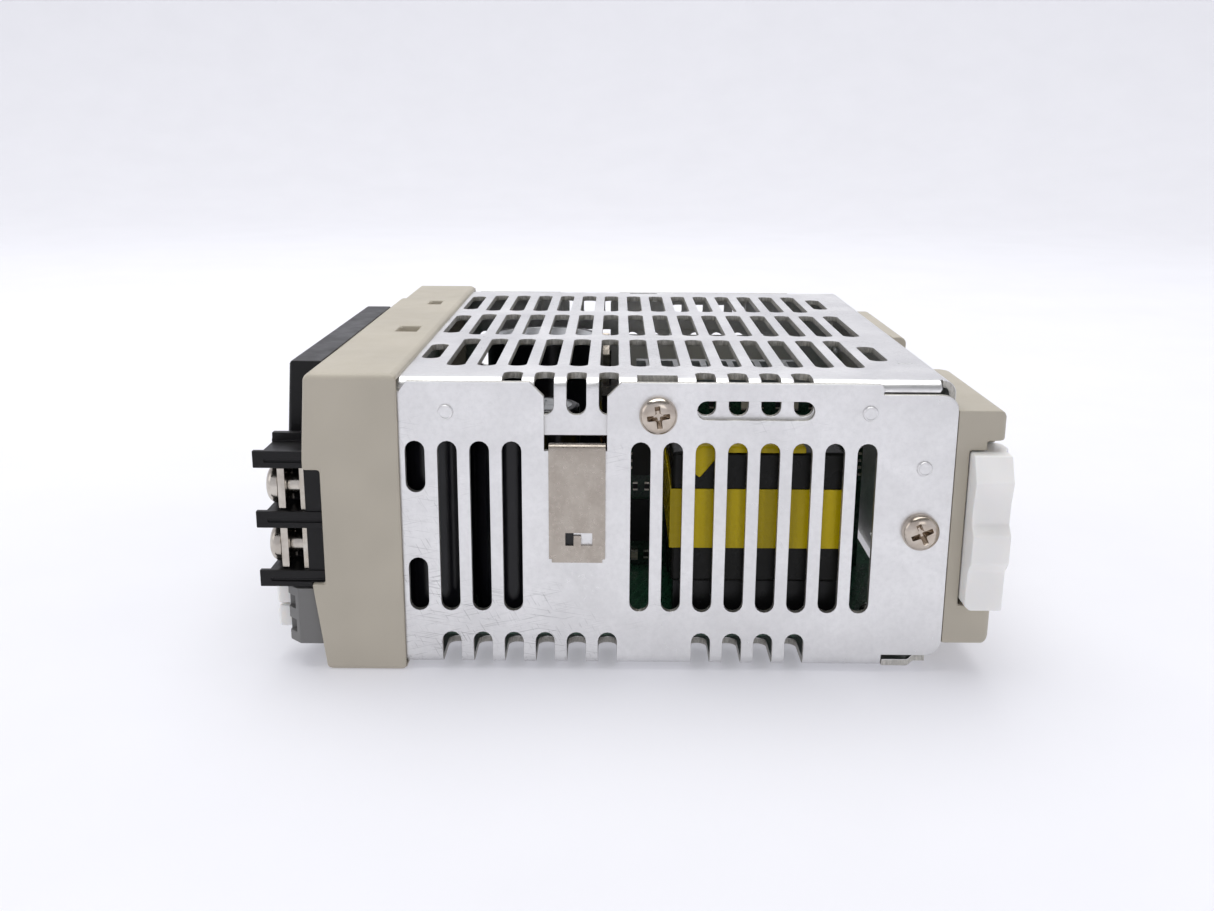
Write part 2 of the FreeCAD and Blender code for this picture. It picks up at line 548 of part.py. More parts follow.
def bus_plates(first_barrier, poles):
    """One tapped conductor plate per pole, with a soldering tail into the case."""
    plates = []
    for pole in range(poles):
        z = pole_z(first_barrier, pole)
        half = (TERMINAL_PITCH - BARRIER_T) / 2 - 0.1
        plate = box((CASE_X1 - 7.6, CASE_X1 - 0.8), (BUS_Y, BUS_Y + 0.8), (z - half, z + half))
        nut = rod((TERMINAL_X, BUS_Y + 0.7, z), (0, 1, 0), 2.15, 0.9)
        hole = rod((TERMINAL_X, BUS_Y - 1, z), (0, 1, 0), 1.8, 8)
        plates.append(fuse([plate, nut]).cut(hole))
    return group(plates)


def clamp_washer(z):
    """Square wire clamp under a terminal screw, with turned-in ends."""
    half_z = (TERMINAL_PITCH - BARRIER_T) / 2 - 0.25
    x = (CASE_X1 - 7.5, CASE_X1 - 0.9)
    y = CLAMP_Y
    plate = box(x, (y, y + WASHER_T - 0.3), (z - half_z, z + half_z))
    toes = [box((a, a + 1.1), (y, y + WASHER_T), (z - half_z, z + half_z)) for a in (x[0], x[1] - 1.1)]
    hole = rod((TERMINAL_X, y - 1, z), (0, 1, 0), 1.82, 4)
    return fuse([plate] + toes).cut(hole)


def terminal_screw(z):
    length = 9.4 - SCREW_LIFT
    return pan_screw((TERMINAL_X, CLAMP_Y - FIT_GAP, z), (0, -1, 0), HEAD_R, HEAD_H, 1.75, length)


# ---------------------------------------------------------------- signal connector
SIGNAL_X = (46.3, CASE_X1)
SIGNAL_Z = (4.3, 14.1)
SIGNAL_Y0 = FRAME_Y0 - 4.1
LEVER_X = (47.7, 51.5)
LEVER_PROUD = 2.9


def lever_z(index):
    return (5.35, 9.05) if index == 0 else (9.55, 13.25)


def signal_connector():
    """Two-way spring-clamp connector at the front corner, with a bevelled wire-entry side."""
    x0, x1 = SIGNAL_X
    y0 = SIGNAL_Y0
    outline = [(x0, y0), (x1 - 2.0, y0), (x1, y0 + 2.1), (x1, FRAME_Y0 + 2.0), (x1 - 1.4, FRAME_Y0 + 2.0),
               (x1 - 1.4, FRAME_Y0 + 5.8), (x0, FRAME_Y0 + 5.8)]
    body = prism([(x, y, SIGNAL_Z[0]) for x, y in outline], (0, 0, SIGNAL_Z[1] - SIGNAL_Z[0]))
    cuts = []
    for index in (0, 1):
        z0, z1 = lever_z(index)
        mid = (z0 + z1) / 2
        cuts.append(box((LEVER_X[0] - 0.15, LEVER_X[1] + 0.15), (y0 - 1, y0 + 6.0), (z0 - 0.15, z1 + 0.15)))
        cuts.append(box((x1 - 2.8, x1 - 0.7), (y0 - 1, y0 + 5.0), (mid - 1.1, mid + 1.1)))
    return body.cut(cuts + [end_wall_room(OUTPUT_NOTCH_Z)])


def release_lever(index):
    """A push tongue that opens one spring clamp."""
    z0, z1 = lever_z(index)
    y0 = SIGNAL_Y0 - LEVER_PROUD
    tongue = box(LEVER_X, (y0, SIGNAL_Y0 + 4.2), (z0, z1))
    tongue = round_edges(tongue, 0.6, lambda p: near(p.y, y0))
    return tongue.cut(box((LEVER_X[0] + 1.3, LEVER_X[1] - 1.3), (y0 - 1, y0 + 0.7), (z0 + 0.9, z1 - 0.9)))


# ---------------------------------------------------------------- rail foot and latch
FOOT_Z = (5.3, 45.1)
RAIL_X = (-RAIL_WIDTH / 2 - 0.4, RAIL_WIDTH / 2 + 0.4)
SEAT_Y = CASE_Y1 + 3.2    # the rail's flanges lie on this plane
FLANGE_GAP = 1.7
HOOK_REACH = 2.2
CHANNEL_Z = (12.1, 38.5)
CHANNEL_Y0 = CASE_Y1 + 2.3
LATCH_Z = (12.3, 38.3)
FOOT_SCREWS = ((-46.0, 14.0), (-46.0, 36.4), (11.6, 9.0), (11.6, 41.4))


def rail_foot():
    """Plate on the case's back with a fixed hook on one side of the rail and the latch's channel."""
    foot = box((FRAME_X0 + 2.4, CASE_X1), (CASE_Y1 + FIT_GAP, FOOT_Y1), FOOT_Z)
    foot = round_edges(foot, 1.5, lambda p: near(p.y, FOOT_Y1) and any(near(p.z, z) for z in FOOT_Z))
    across = (FOOT_Z[0] - 1, FOOT_Z[1] + 1)
    groove = [box((RAIL_X[0], RAIL_X[1]), (SEAT_Y, SEAT_Y + FLANGE_GAP), across),
              box((RAIL_X[0] + HOOK_REACH, RAIL_X[1] + 3.0), (SEAT_Y, FOOT_Y1 + 1), across)]
    x0, y1 = RAIL_X[1] + 2.9, FOOT_Y1 + 0.1
    slope = [(x0, FOOT_Y1 - 2.2), (x0 + 2.5, y1), (x0, y1)]
    lead_in = prism([(x, y, across[0]) for x, y in slope], (0, 0, across[1] - across[0]))
    channel = [box((RAIL_X[1] - 1, FRAME_X1 + 9), (CHANNEL_Y0, FOOT_Y1 + 3), CHANNEL_Z),
               box((RAIL_X[1] - 1, FRAME_X1 - 6), (CHANNEL_Y0, CHANNEL_Y0 + 2.0), grown(CHANNEL_Z, 1.5)),
               box(SPRING_X, (CHANNEL_Y0 - 1.6, CHANNEL_Y0 + 1), grown((CASE_MID_Z, CASE_MID_Z), 2.6))]
    relief_z = (CHANNEL_Z[1] - 1, CHANNEL_Z[1] + 1.6)
    grip_relief = box((CASE_X1 - 5.5, CASE_X1 + 1), (FOOT_Y1 - 3.0, FOOT_Y1 + 1), relief_z)
    bores = [rod((x, CASE_Y1 - 1, z), (0, 1, 0), 1.25, 3.6) for x, z in FOOT_SCREWS]
    return foot.cut(groove + [lead_in] + channel + [grip_relief] + bores)


def latch_grip():
    """Outline of the waved finger grip as (x, z) points, seen from the rail side."""
    x = CASE_X1
    return [(x - 12, LATCH_Z[0]), (x + 3.2, LATCH_Z[0]), (x + 3.4, 19.2), (x + 4.9, 20.9), (x + 5.0, 25.7),
            (x + 3.5, 27.3), (x + 3.6, 30.5), (x + 4.4, 34.2), (x + 2.2, LATCH_Z[1]), (x - 12, LATCH_Z[1])]


def rail_latch():
    """Sliding latch: a flat slide with side rails, a wedge that holds the rail and a ribbed grip."""
    y0, y1 = CHANNEL_Y0 + 0.1, LATCH_Y1
    tip = RAIL_X[1] - HOOK_REACH
    slide = box((RAIL_X[1] + 0.6, CASE_X1 - 8), (y0, FOOT_Y1 - 0.4), LATCH_Z)
    wings = box((RAIL_X[1] + 0.6, CASE_X1 - 12.5), (y0, y0 + 1.7), grown(LATCH_Z, 1.3))
    wedge_y = SEAT_Y + FLANGE_GAP
    wedge = [(RAIL_X[1] + 0.6, wedge_y), (tip, wedge_y), (tip, wedge_y + 0.9),
             (RAIL_X[1] + 1.2, FOOT_Y1 - 0.4)]
    wedge = prism([(x, y, LATCH_Z[0]) for x, y in wedge], (0, 0, LATCH_Z[1] - LATCH_Z[0]))
    grip = prism([(x, y0, z) for x, z in latch_grip()], (0, y1 - y0, 0))
    behind_rib = [(CASE_X1 - 13, y1 + 0.1), (CASE_X1 - 13, FOOT_Y1 - 0.4), (CASE_X1 - 7.5, FOOT_Y1 - 0.4),
                  (CASE_X1 - 5.5, y1 + 0.1)]
    low_end = [(CASE_X1 - 2.8, y1 + 0.1), (CASE_X1 - 1.6, y1 - 0.75), (CASE_X1 + 9, y1 - 0.75),
               (CASE_X1 + 9, y1 + 0.1)]
    low_bevel = [(y0 - 0.1, LATCH_Z[0] - 0.1), (y0 + 1.0, LATCH_Z[0] - 0.1), (y0 - 0.1, LATCH_Z[0] + 1.0)]
    grip = grip.cut([prism([(x, y, 0) for x, y in behind_rib], (0, 0, 60)),
                     prism([(x, y, 0) for x, y in low_end], (0, 0, 60)),
                     prism([(CASE_X1 - 20, y, z) for y, z in low_bevel], (40, 0, 0))])
    spring_pocket = box(SPRING_X, (y0 - 1, y0 + 1.9), grown((CASE_MID_Z, CASE_MID_Z), 2.4))
    finger_slot = slot((28, FOOT_Y1 - 3, CASE_MID_Z), (38, FOOT_Y1 - 3, CASE_MID_Z), 9, (0, 5, 0))
    return fuse([slide, wings, wedge, grip]).cut([spring_pocket, finger_slot])


SPRING_X = (24.0, 44.0)


def latch_spring():
    """Compression spring in the pocket between foot and latch, drawn as its turns."""
    radius, wire, turns = 1.35, 0.25, 12
    helix = Part.makeHelix((SPRING_X[1] - SPRING_X[0] - 2 * wire - 0.4) / turns,
                           SPRING_X[1] - SPRING_X[0] - 2 * wire - 0.4, radius)
    start = Part.Wire(Part.Circle(Vector(radius, 0, 0), Vector(0, 1, 0), wire).toShape())
    coil = Part.Wire(helix.Edges).makePipeShell([start], True, True)
    turn = FreeCAD.Rotation(Vector(0, 0, 1), Vector(1, 0, 0))
    coil.Placement = FreeCAD.Placement(Vector(SPRING_X[0] + wire + 0.2, CHANNEL_Y0 + 0.1, CASE_MID_Z), turn)
    return coil


def foot_screws():
    """Screws from inside the case into the foot."""
    return group([pan_screw((x, CASE_Y1 - SHEET - FIT_GAP, z), (0, -1, 0), 2.4, 1.6, 1.2, 3.6)
                  for x, z in FOOT_SCREWS])


# ---------------------------------------------------------------- boards and components inside
BOARD_X = (CASE_X0 + 2.6, CASE_X1 - 2.6)
BOARD_Y = (-43.5, 47.5)
BOARD_SCREWS = ((-48.0, -29.0), (-49.5, 43.0), (47.6, 42.5), (17.0, -37.0))
CONTROL_X = 23.0
CORE_AT = (39.1, 21.0)    # transformer's centre on the board
CORE_SIZE = (29.0, 28.6, 22.4)
CORE_Z0 = 14.7


def main_board():
    board = box(BOARD_X, BOARD_Y, (PCB_Z0, PCB_TOP))
    return board.cut([rod((x, y, PCB_Z0 - 1), (0, 0, 1), 1.7, 4) for x, y in BOARD_SCREWS])


def board_spacers():
    z0 = CASE_Z0 + SHEET
    return group([rod((x, y, z0), (0, 0, 1), 2.8, PCB_Z0 - z0).cut(rod((x, y, z0), (0, 0, 1), 1.55, 6))
                  for x, y in BOARD_SCREWS])


def board_screws():
    return group([pan_screw((x, y, PCB_TOP), (0, 0, 1), 2.6, 1.8, 1.5, 5.4) for x, y in BOARD_SCREWS])


def control_board():
    """Upright board behind the transformer."""
    board = box((CONTROL_X - PCB_T, CONTROL_X), (-2.0, 44.0), (PCB_TOP, 40.0))
    corners = ((0.6, 25), (0.4, 12), (38, 24))
    chips = [box((CONTROL_X - 0.02, CONTROL_X + 1.4), (y, y + 5), (z, z + 8)) for y, z in corners]
    return fuse([board] + chips)


def transformer_core():
    """Two E halves round the winding."""
    x, y = CORE_AT
    sx, sy, sz = CORE_SIZE
    block = box((x - sx / 2, x + sx / 2), (y - sy / 2, y + sy / 2), (CORE_Z0, CORE_Z0 + sz))
    window = (CORE_Z0 + 5.0, CORE_Z0 + sz - 5.0)
    block = block.cut(box((x - sx / 2 + 7, x + sx / 2 - 7), (y - sy / 2 - 1, y + sy / 2 + 1), window))
    return round_edges(block, 0.8, lambda p: abs(p.x - x) > sx / 2 - 0.1)


def transformer_tape():
    """Band of tape round the outside of the core."""
    x, y = CORE_AT
    sx, sy, _ = CORE_SIZE
    z = (CORE_Z0 + 6.1, CORE_Z0 + 16.3)
    t = 0.3
    around_x, around_y = (x - sx / 2, x + sx / 2), (y - sy / 2, y + sy / 2)
    outer = box(grown(around_x, t), grown(around_y, t), z)
    return outer.cut(box(grown(around_x, 0.02), grown(around_y, 0.02), grown(z, 1)))


def transformer_winding():
    """Wound coil through the core's window."""
    x, y = CORE_AT
    sx, sy, sz = CORE_SIZE
    window = (CORE_Z0 + 5.05, CORE_Z0 + sz - 5.05)
    return box((x - sx / 2 + 7.05, x + sx / 2 - 7.05), (y - sy / 2 + 0.1, y + sy / 2 - 0.1), window)


def transformer_bobbin():
    """Pin rails under the core and end cheeks, on legs down to the board."""
    x, y = CORE_AT
    sx, sy, _ = CORE_SIZE
    height = (PCB_TOP + 1.2, CORE_Z0)
    rail = box((x - sx / 2 + 1, x + sx / 2 - 1), (y - sy / 2 + 0.5, y + sy / 2 - 0.5), height)
    rail = rail.cut(box((x - sx / 2 + 6, x + sx / 2 - 6), (y - sy / 2, y + sy / 2), (PCB_TOP, CORE_Z0 - 2.2)))
    pins = [rod((px, py, PCB_TOP), (0, 0, 1), 0.45, 1.3) for px in (x - sx / 2 + 3, x + sx / 2 - 3)
            for py in (y - 10, y - 5, y, y + 5, y + 10)]
    return fuse([rail] + pins)


def top_tape():
    """End of the winding's tape, folded over the core's upper edge with one tail hanging down."""
    y = CORE_AT[1]
    face = CORE_AT[0] + CORE_SIZE[0] / 2 + 0.02
    top = CORE_Z0 + CORE_SIZE[2] + 0.02
    fold = box((face - 6.0, face + 0.25), (y - 11.5, y + 7.5), (top, top + 1.3))
    fold = round_edges(fold, 0.8, lambda p: near(p.z, top + 1.3))
    tail = prism([(face, y - 11.4, top + 0.4), (face, y - 7.2, top + 0.4), (face, y - 7.2, top - 1.0),
                  (face, y - 9.8, top - 4.2), (face, y - 11.4, top - 3.0)], (0.25, 0, 0))
    return fuse([fold, tail])


def can(x, y, radius, height):
    """A radial can capacitor standing on the main board, with its crimp groove."""
    r = radius
    foot = [(0, 0), (r - 0.6, 0), (r, 0.6), (r, 1.8), (r - 0.45, 2.3), (r, 2.8)]
    crown = [(r, height - 0.7), (r - 0.7, height), (r - 1.4, height), (r - 1.5, height - 0.2),
             (0, height - 0.2)]
    profile = foot + crown
    return turned(profile, (x, y, PCB_TOP), (0, 0, 1))


def output_capacitors():
    spots = ((47.3, -32.8), (47.3, -20.1), (33.9, -28.0), (33.9, -15.2))
    return group([can(x, y, 6.25, 34.0) for x, y in spots])


def input_capacitor():
    return can(-18.0, -18.0, 12.5, 38.0)


def output_choke():
    return Part.makeTorus(7.6, 4.2, Vector(15.0, -17.5, PCB_TOP + 11.85), Vector(1, 0, 0))


def line_filter():
    """Common-mode choke: a squared core with two windings, near the input end."""
    x, y = -41.0, -8.0
    core = box((x - 6, x + 6), (y - 9, y + 9), (PCB_TOP + 3, PCB_TOP + 21))
    core = core.cut(box((x - 7, x + 7), (y - 4.5, y + 4.5), (PCB_TOP + 7.5, PCB_TOP + 16.5)))
    base = box((x - 7, x + 7), (y - 10, y + 10), (PCB_TOP, PCB_TOP + 3))
    return fuse([core, base])


def line_filter_windings():
    x, y = -41.0, -8.0
    coils = []
    for side in (-1, 1):
        z = PCB_TOP + 12
        yc = y + side * 6.75
        outer = rod((x, yc, PCB_TOP + 7.8), (0, 0, 1), 8.2, 8.4)
        outer = outer.common(box((x - 7.6, x + 7.6), (yc - 4.0, yc + 4.0), (z - 5, z + 5)))
        coils.append(outer.cut(box((x - 6.02, x + 6.02), (yc - 2.27, yc + 2.27), (z - 6, z + 6))))
    return group(coils)


def film_capacitor():
    body = box((-52.5, -40.5), (8.0, 26.0), (PCB_TOP, PCB_TOP + 15))
    return round_edges(body, 0.8, lambda p: p.z > PCB_TOP + 1)


def bridge_rectifier():
    body = box((-31.0, -27.0), (8.0, 28.0), (PCB_TOP + 4, PCB_TOP + 19))
    legs = [box((-29.4, -28.4), (y, y + 1.0), (PCB_TOP, PCB_TOP + 4.1)) for y in (10, 15, 20, 25)]
    return fuse([body] + legs)


def heat_sink():
    """Finned plate with its feet in the main board, beside the rectifier."""
    plate = box((-26.9, -24.9), (2.0, 40.0), (PCB_TOP, 38.0))
    fins = [box((-25.0, -18.0), (y, y + 1.4), (PCB_TOP + 6, 38.0)) for y in range(4, 40, 6)]
    return fuse([plate] + fins)


def fuse_link():
    """Glass-tube fuse in two clips."""
    y, z = 34.0, PCB_TOP + 5
    tube = rod((-53.0, y, z), (1, 0, 0), 2.5, 20)
    clips = [box((x, x + 4), (y - 3.2, y + 3.2), (PCB_TOP, z - 1.0)) for x in (-52.0, -38.0)]
    return fuse([tube] + clips)


def insulation_sheet():
    """Fibre sheet standing inside the upper end face."""
    x = CASE_X0 + SHEET + 0.3
    return box((x, x + 0.4), (0.0, 41.5), (PCB_TOP + 0.3, 39.0))


# ---------------------------------------------------------------- nodes
def build():
    nodes = {
        "base_chassis": base_chassis(),
        "top_cover": top_cover(),
        "case_screws": case_screws(),
        "front_frame": front_frame(),
        "front_panel": front_panel(),
        "display_window": display_window(),
        "display_module": display_module(),
        "display_board": display_board(),
        "indicator_lights": indicator_lights(),
        "key_switches": key_switches(),
        "voltage_trimmer": voltage_trimmer(),
        "trimmer_base": trimmer_base(),
        "output_terminal_block": terminal_block(OUTPUT_BARRIER_Z, 2, CORNER_Z - 0.2, OUTPUT_NOTCH_Z, 4.3),
        "output_bus_plates": bus_plates(OUTPUT_BARRIER_Z, 2),
        "input_terminal_block": other_end(terminal_block(INPUT_BARRIER_Z, 3, 43.2, INPUT_NOTCH_Z, 1.4)),
        "input_bus_plates": other_end(bus_plates(INPUT_BARRIER_Z, 3)),
        "signal_connector": signal_connector(),
        "rail_foot": rail_foot(),
        "rail_latch": rail_latch(),
        "latch_spring": latch_spring(),
        "foot_screws": foot_screws(),
        "output_spring_clip": spring_clip(),
        "input_spring_clip": other_end(spring_clip()),
        "output_diode": power_device(),
        "switching_transistor": other_end(power_device()),
        "main_board": main_board(),
        "board_spacers": board_spacers(),
        "board_screws": board_screws(),
        "control_board": control_board(),
        "transformer_core": transformer_core(),
        "transformer_tape": transformer_tape(),
        "transformer_winding": transformer_winding(),
        "transformer_bobbin": transformer_bobbin(),
        "transformer_top_tape": top_tape(),
        "output_capacitors": output_capacitors(),
        "input_capacitor": input_capacitor(),
        "output_choke": output_choke(),
        "line_filter_core": line_filter(),
        "line_filter_windings": line_filter_windings(),
        "film_capacitor": film_capacitor(),
        "bridge_rectifier": bridge_rectifier(),
        "heat_sink": heat_sink(),
        "fuse": fuse_link(),
        "insulation_sheet": insulation_sheet(),
    }
    for name, z in BUTTONS:
        nodes[name] = panel_button(z)
    for index in (0, 1):
        nodes[f"release_lever_{index + 1}"] = release_lever(index)
    for side, first, poles in (("output", OUTPUT_BARRIER_Z, 2), ("input", INPUT_BARRIER_Z, 3)):
        for pole in range(poles):
            z = pole_z(first, pole)
            clamp, screw = clamp_washer(z), terminal_screw(z)
            if side == "input":
                clamp, screw = other_end(clamp), other_end(screw)
            nodes[f"{side}_clamp_{pole + 1}"] = clamp
            nodes[f"{side}_screw_{pole + 1}"] = screw
    return nodes


def main():
    os.makedirs("parts", exist_ok=True)
    for name, shape in build().items():
        if not shape.isValid() or not shape.Solids:
            print("check", name, "valid", shape.isValid(), "solids", len(shape.Solids))
        shape.translate(Vector(ORIGIN_SHIFT, 0, 0))
        shape.exportStep(os.path.join("parts", name + ".step"))


main()
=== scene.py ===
import math

import bmesh
import bpy
from mathutils import Matrix, Vector, geometry


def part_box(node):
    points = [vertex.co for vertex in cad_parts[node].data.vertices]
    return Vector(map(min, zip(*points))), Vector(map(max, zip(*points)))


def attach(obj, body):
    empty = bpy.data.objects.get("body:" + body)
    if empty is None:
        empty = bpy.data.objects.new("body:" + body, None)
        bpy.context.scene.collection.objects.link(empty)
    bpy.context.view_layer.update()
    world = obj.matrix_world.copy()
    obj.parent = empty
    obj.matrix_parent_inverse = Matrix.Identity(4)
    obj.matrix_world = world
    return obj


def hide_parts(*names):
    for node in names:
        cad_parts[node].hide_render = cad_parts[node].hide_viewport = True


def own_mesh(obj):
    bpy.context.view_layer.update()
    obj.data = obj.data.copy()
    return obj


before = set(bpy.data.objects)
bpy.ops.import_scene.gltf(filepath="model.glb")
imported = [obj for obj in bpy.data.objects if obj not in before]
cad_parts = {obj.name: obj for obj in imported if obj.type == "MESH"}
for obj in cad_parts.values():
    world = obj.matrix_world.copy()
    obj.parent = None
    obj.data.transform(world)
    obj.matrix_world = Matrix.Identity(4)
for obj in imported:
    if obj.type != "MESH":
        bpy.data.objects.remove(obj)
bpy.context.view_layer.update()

MM = 0.001
scene = bpy.context.scene


# ---------------------------------------------------------------- places, in millimetres
def mm_box(node):
    low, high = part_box(node)
    return low / MM, high / MM


FRAME_LO, FRAME_HI = mm_box("front_frame")
MID_X = (FRAME_LO.x + FRAME_HI.x) / 2
HALF = (FRAME_HI.x - FRAME_LO.x) / 2 - 0.8        # from the middle to the case's end face
SEAM_Y = FRAME_HI.y
CASE_Y0 = SEAM_Y - 2.5
CASE_Y1 = mm_box("top_cover")[1].y
CASE_Z0 = mm_box("base_chassis")[0].z
CASE_Z1 = mm_box("top_cover")[1].z
CHASSIS_TOP = mm_box("base_chassis")[1].z
SHEET = 1.2
SHEET_EDGE = 0.11
VENT_WIDTH = 3.15
VENT_R = VENT_WIDTH / 2
VENT_PITCH = 5.2
VENT_COLUMNS = 16
ROWS = ((-12.6, -40.7), (-45.1, -72.9), (-77.7, -103.7))   # back from the +X end face
CASE_SCREWS = ((4.15, 44.0), (47.1, 24.9))                 # (y, z) on an end face
BOSSES = ((-29.8, 44.3), (37.9, 44.5), (47.1, 35.5))


def vent_y(column):
    return SEAM_Y + 2.45 + VENT_PITCH * column


# ---------------------------------------------------------------- mesh helpers
def piece(name, body, material, bm, replaces=(), smooth=32.0):
    """A finished piece from a bmesh in millimetres, riding on a body."""
    mesh = bpy.data.meshes.new(name)
    bm.to_mesh(mesh)
    bm.free()
    mesh.transform(Matrix.Scale(MM, 4))
    return place(name, body, material, mesh, replaces, smooth)


def place(name, body, material, mesh, replaces=(), smooth=32.0):
    for finish in material if isinstance(material, tuple) else (material,):
        mesh.materials.append(finish)
    obj = bpy.data.objects.new(name, mesh)
    scene.collection.objects.link(obj)
    mesh.shade_smooth()
    mesh.set_sharp_from_angle(angle=math.radians(smooth))
    normals = obj.modifiers.new("normals", "WEIGHTED_NORMAL")
    normals.keep_sharp = True
    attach(obj, body)
    if replaces:
        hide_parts(*replaces)
    return obj


def evaluated(bm, *modifiers):
    """The bmesh after a list of (type, settings) modifiers, still in millimetres."""
    mesh = bpy.data.meshes.new("work")
    bm.to_mesh(mesh)
    bm.free()
    obj = bpy.data.objects.new("work", mesh)
    scene.collection.objects.link(obj)
    for kind, settings in modifiers:
        modifier = obj.modifiers.new(kind.lower(), kind)
        for key, value in settings.items():
            setattr(modifier, key, value)
    graph = bpy.context.evaluated_depsgraph_get()
    result = bpy.data.meshes.new_from_object(obj.evaluated_get(graph))
    out = bmesh.new()
    out.from_mesh(result)
    bpy.data.objects.remove(obj)
    bpy.data.meshes.remove(mesh)
    bpy.data.meshes.remove(result)
    return out


def bevelled(bm, width, segments=2, angle=28.0):
    """Rounds the sharp edges. Faces with a notch are split first, so that none folds over itself."""
    bmesh.ops.connect_verts_concave(bm, faces=bm.faces[:])
    return evaluated(bm, ("BEVEL", {"width": width, "segments": segments, "limit_method": "ANGLE",
                                    "angle_limit": math.radians(angle), "use_clamp_overlap": False,
                                    "loop_slide": False}))


def cad_mesh(node, flat=0.4):
    """A CAD node's mesh in millimetres, welded, with its flat faces joined up again."""
    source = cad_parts[node].data
    bm = bmesh.new()
    verts = [bm.verts.new(v.co / MM) for v in source.vertices]
    for polygon in source.polygons:
        bm.faces.new([verts[i] for i in polygon.vertices])
    bmesh.ops.remove_doubles(bm, verts=bm.verts, dist=0.002)
    bmesh.ops.dissolve_degenerate(bm, edges=bm.edges, dist=0.002)
    bmesh.ops.dissolve_limit(bm, angle_limit=math.radians(flat), verts=bm.verts, edges=bm.edges)
    return bm


def carried(node, body, material, bevel=0.12, segments=2, angle=28.0):
    """The CAD node's own shape with its edges rounded."""
    bm = cad_mesh(node)
    if bevel:
        bm = bevelled(bm, bevel, segments, angle)
    return piece(node + "_piece", body, material, bm, (node,))


def slot_loop(start, end, width, steps=8):
    """A round-ended slot as a closed loop of (u, v) points."""
    (u0, v0), (u1, v1) = start, end
    along = math.atan2(v1 - v0, u1 - u0)
    r = width / 2
    loop = []
    for centre, first in (((u1, v1), -math.pi / 2), ((u0, v0), math.pi / 2)):
        for k in range(steps + 1):
            a = along + first + math.pi * k / steps
            loop.append((centre[0] + r * math.cos(a), centre[1] + r * math.sin(a)))
    return loop


def circle_loop(centre, r, steps=24):
    return [(centre[0] + r * math.cos(2 * math.pi * k / steps),
             centre[1] + r * math.sin(2 * math.pi * k / steps)) for k in range(steps)]


def rect_loop(u, v):
    return [(u[0], v[0]), (u[1], v[0]), (u[1], v[1]), (u[0], v[1])]


def arc_points(centre, r, a0, a1, steps=5):
    return [(centre[0] + r * math.cos(math.radians(a0 + (a1 - a0) * k / steps)),
             centre[1] + r * math.sin(math.radians(a0 + (a1 - a0) * k / steps))) for k in range(steps + 1)]


def inset(loop, distance):
    """The loop moved into the material, which lies to its left."""
    out = []
    n = len(loop)
    for i in range(n):
        p, q, r = Vector(loop[i - 1]), Vector(loop[i]), Vector(loop[(i + 1) % n])
        a, b = (q - p).normalized(), (r - q).normalized()
        na, nb = Vector((-a.y, a.x)), Vector((-b.y, b.x))
        m = na + nb
        m = m / max(m.length_squared, 1e-9) * 2 * distance
        out.append((q.x + m.x, q.y + m.y))
    return out


def plate(outline, holes, thickness, edge):
    """A flat plate with holes and rounded edges; w runs from 0 at the outer face to the thickness.

    The cut walls take the second material.
    """
    loops = [outline] + [list(reversed(h)) for h in holes]
    bm = bmesh.new()
    levels = [(edge, 0.0), (edge * 0.3, edge * 0.3), (0.0, edge), (0.0, thickness - edge),
              (edge * 0.3, thickness - edge * 0.3), (edge, thickness)]
    rims = []
    for loop in loops:
        rings = []
        for distance, w in levels:
            ring = inset(loop, distance) if distance else loop
            rings.append([bm.verts.new((u, v, w)) for u, v in ring])
        n = len(loop)
        for level, (upper, lower) in enumerate(zip(rings, rings[1:])):
            for i in range(n):
                j = (i + 1) % n
                wall = bm.faces.new((upper[i], upper[j], lower[j], lower[i]))
                wall.material_index = 1 if level == 2 else 0
        rims.append((rings[0], rings[-1]))
    for side in (0, 1):
        verts = [v for rim in rims for v in rim[side]]
        index = {v: i for i, v in enumerate(verts)}
        edges = []
        for rim in rims:
            ring = rim[side]
            edges += [(index[ring[i]], index[ring[(i + 1) % len(ring)]]) for i in range(len(ring))]
        points = [Vector((v.co.x, v.co.y)) for v in verts]
        made = geometry.delaunay_2d_cdt(points, edges, [], 1, 1e-6)
        origin = [o[0] for o in made[3]]
        loop_of = [k for k, rim in enumerate(rims) for _ in rim[side]]
        for triangle in made[2]:
            ids = [origin[i] for i in triangle]
            owners = {loop_of[i] for i in ids}
            if len(owners) == 1 and owners != {0}:
                continue
            corners = [verts[i] for i in ids]
            bm.faces.new(corners if side == 1 else corners[::-1])
    bmesh.ops.recalc_face_normals(bm, faces=bm.faces)
    return bm


def sliced(bm, axis, start, end, steps):
    """Cuts the plate across a bend so that it can curve there."""
    for k in range(steps + 1):
        at = start + (end - start) * k / steps
        normal = Vector((1, 0, 0)) if axis == "u" else Vector((0, 1, 0))
        bmesh.ops.bisect_plane(bm, geom=bm.verts[:] + bm.edges[:] + bm.faces[:], dist=1e-5,
                               plane_co=normal * at, plane_no=normal)


def turned(profile, steps=64):
    """A body of revolution about +Z from (radius, height) points, closed on the axis."""
    bm = bmesh.new()
    rings = []
    for r, h in profile:
        if r < 1e-6:
            rings.append([bm.verts.new((0, 0, h))])
        else:
            rings.append([bm.verts.new((r * math.cos(2 * math.pi * k / steps),
                                        r * math.sin(2 * math.pi * k / steps), h)) for k in range(steps)])
    for a, b in zip(rings, rings[1:]):
        for k in range(steps):
            j = (k + 1) % steps
            corners = [a[k], a[j], b[j], b[k]] if len(a) > 1 and len(b) > 1 else \
                [a[0], b[j], b[k]] if len(a) == 1 else [a[k], a[j], b[0]]
            bm.faces.new(corners)
    bmesh.ops.recalc_face_normals(bm, faces=bm.faces)
    return bm


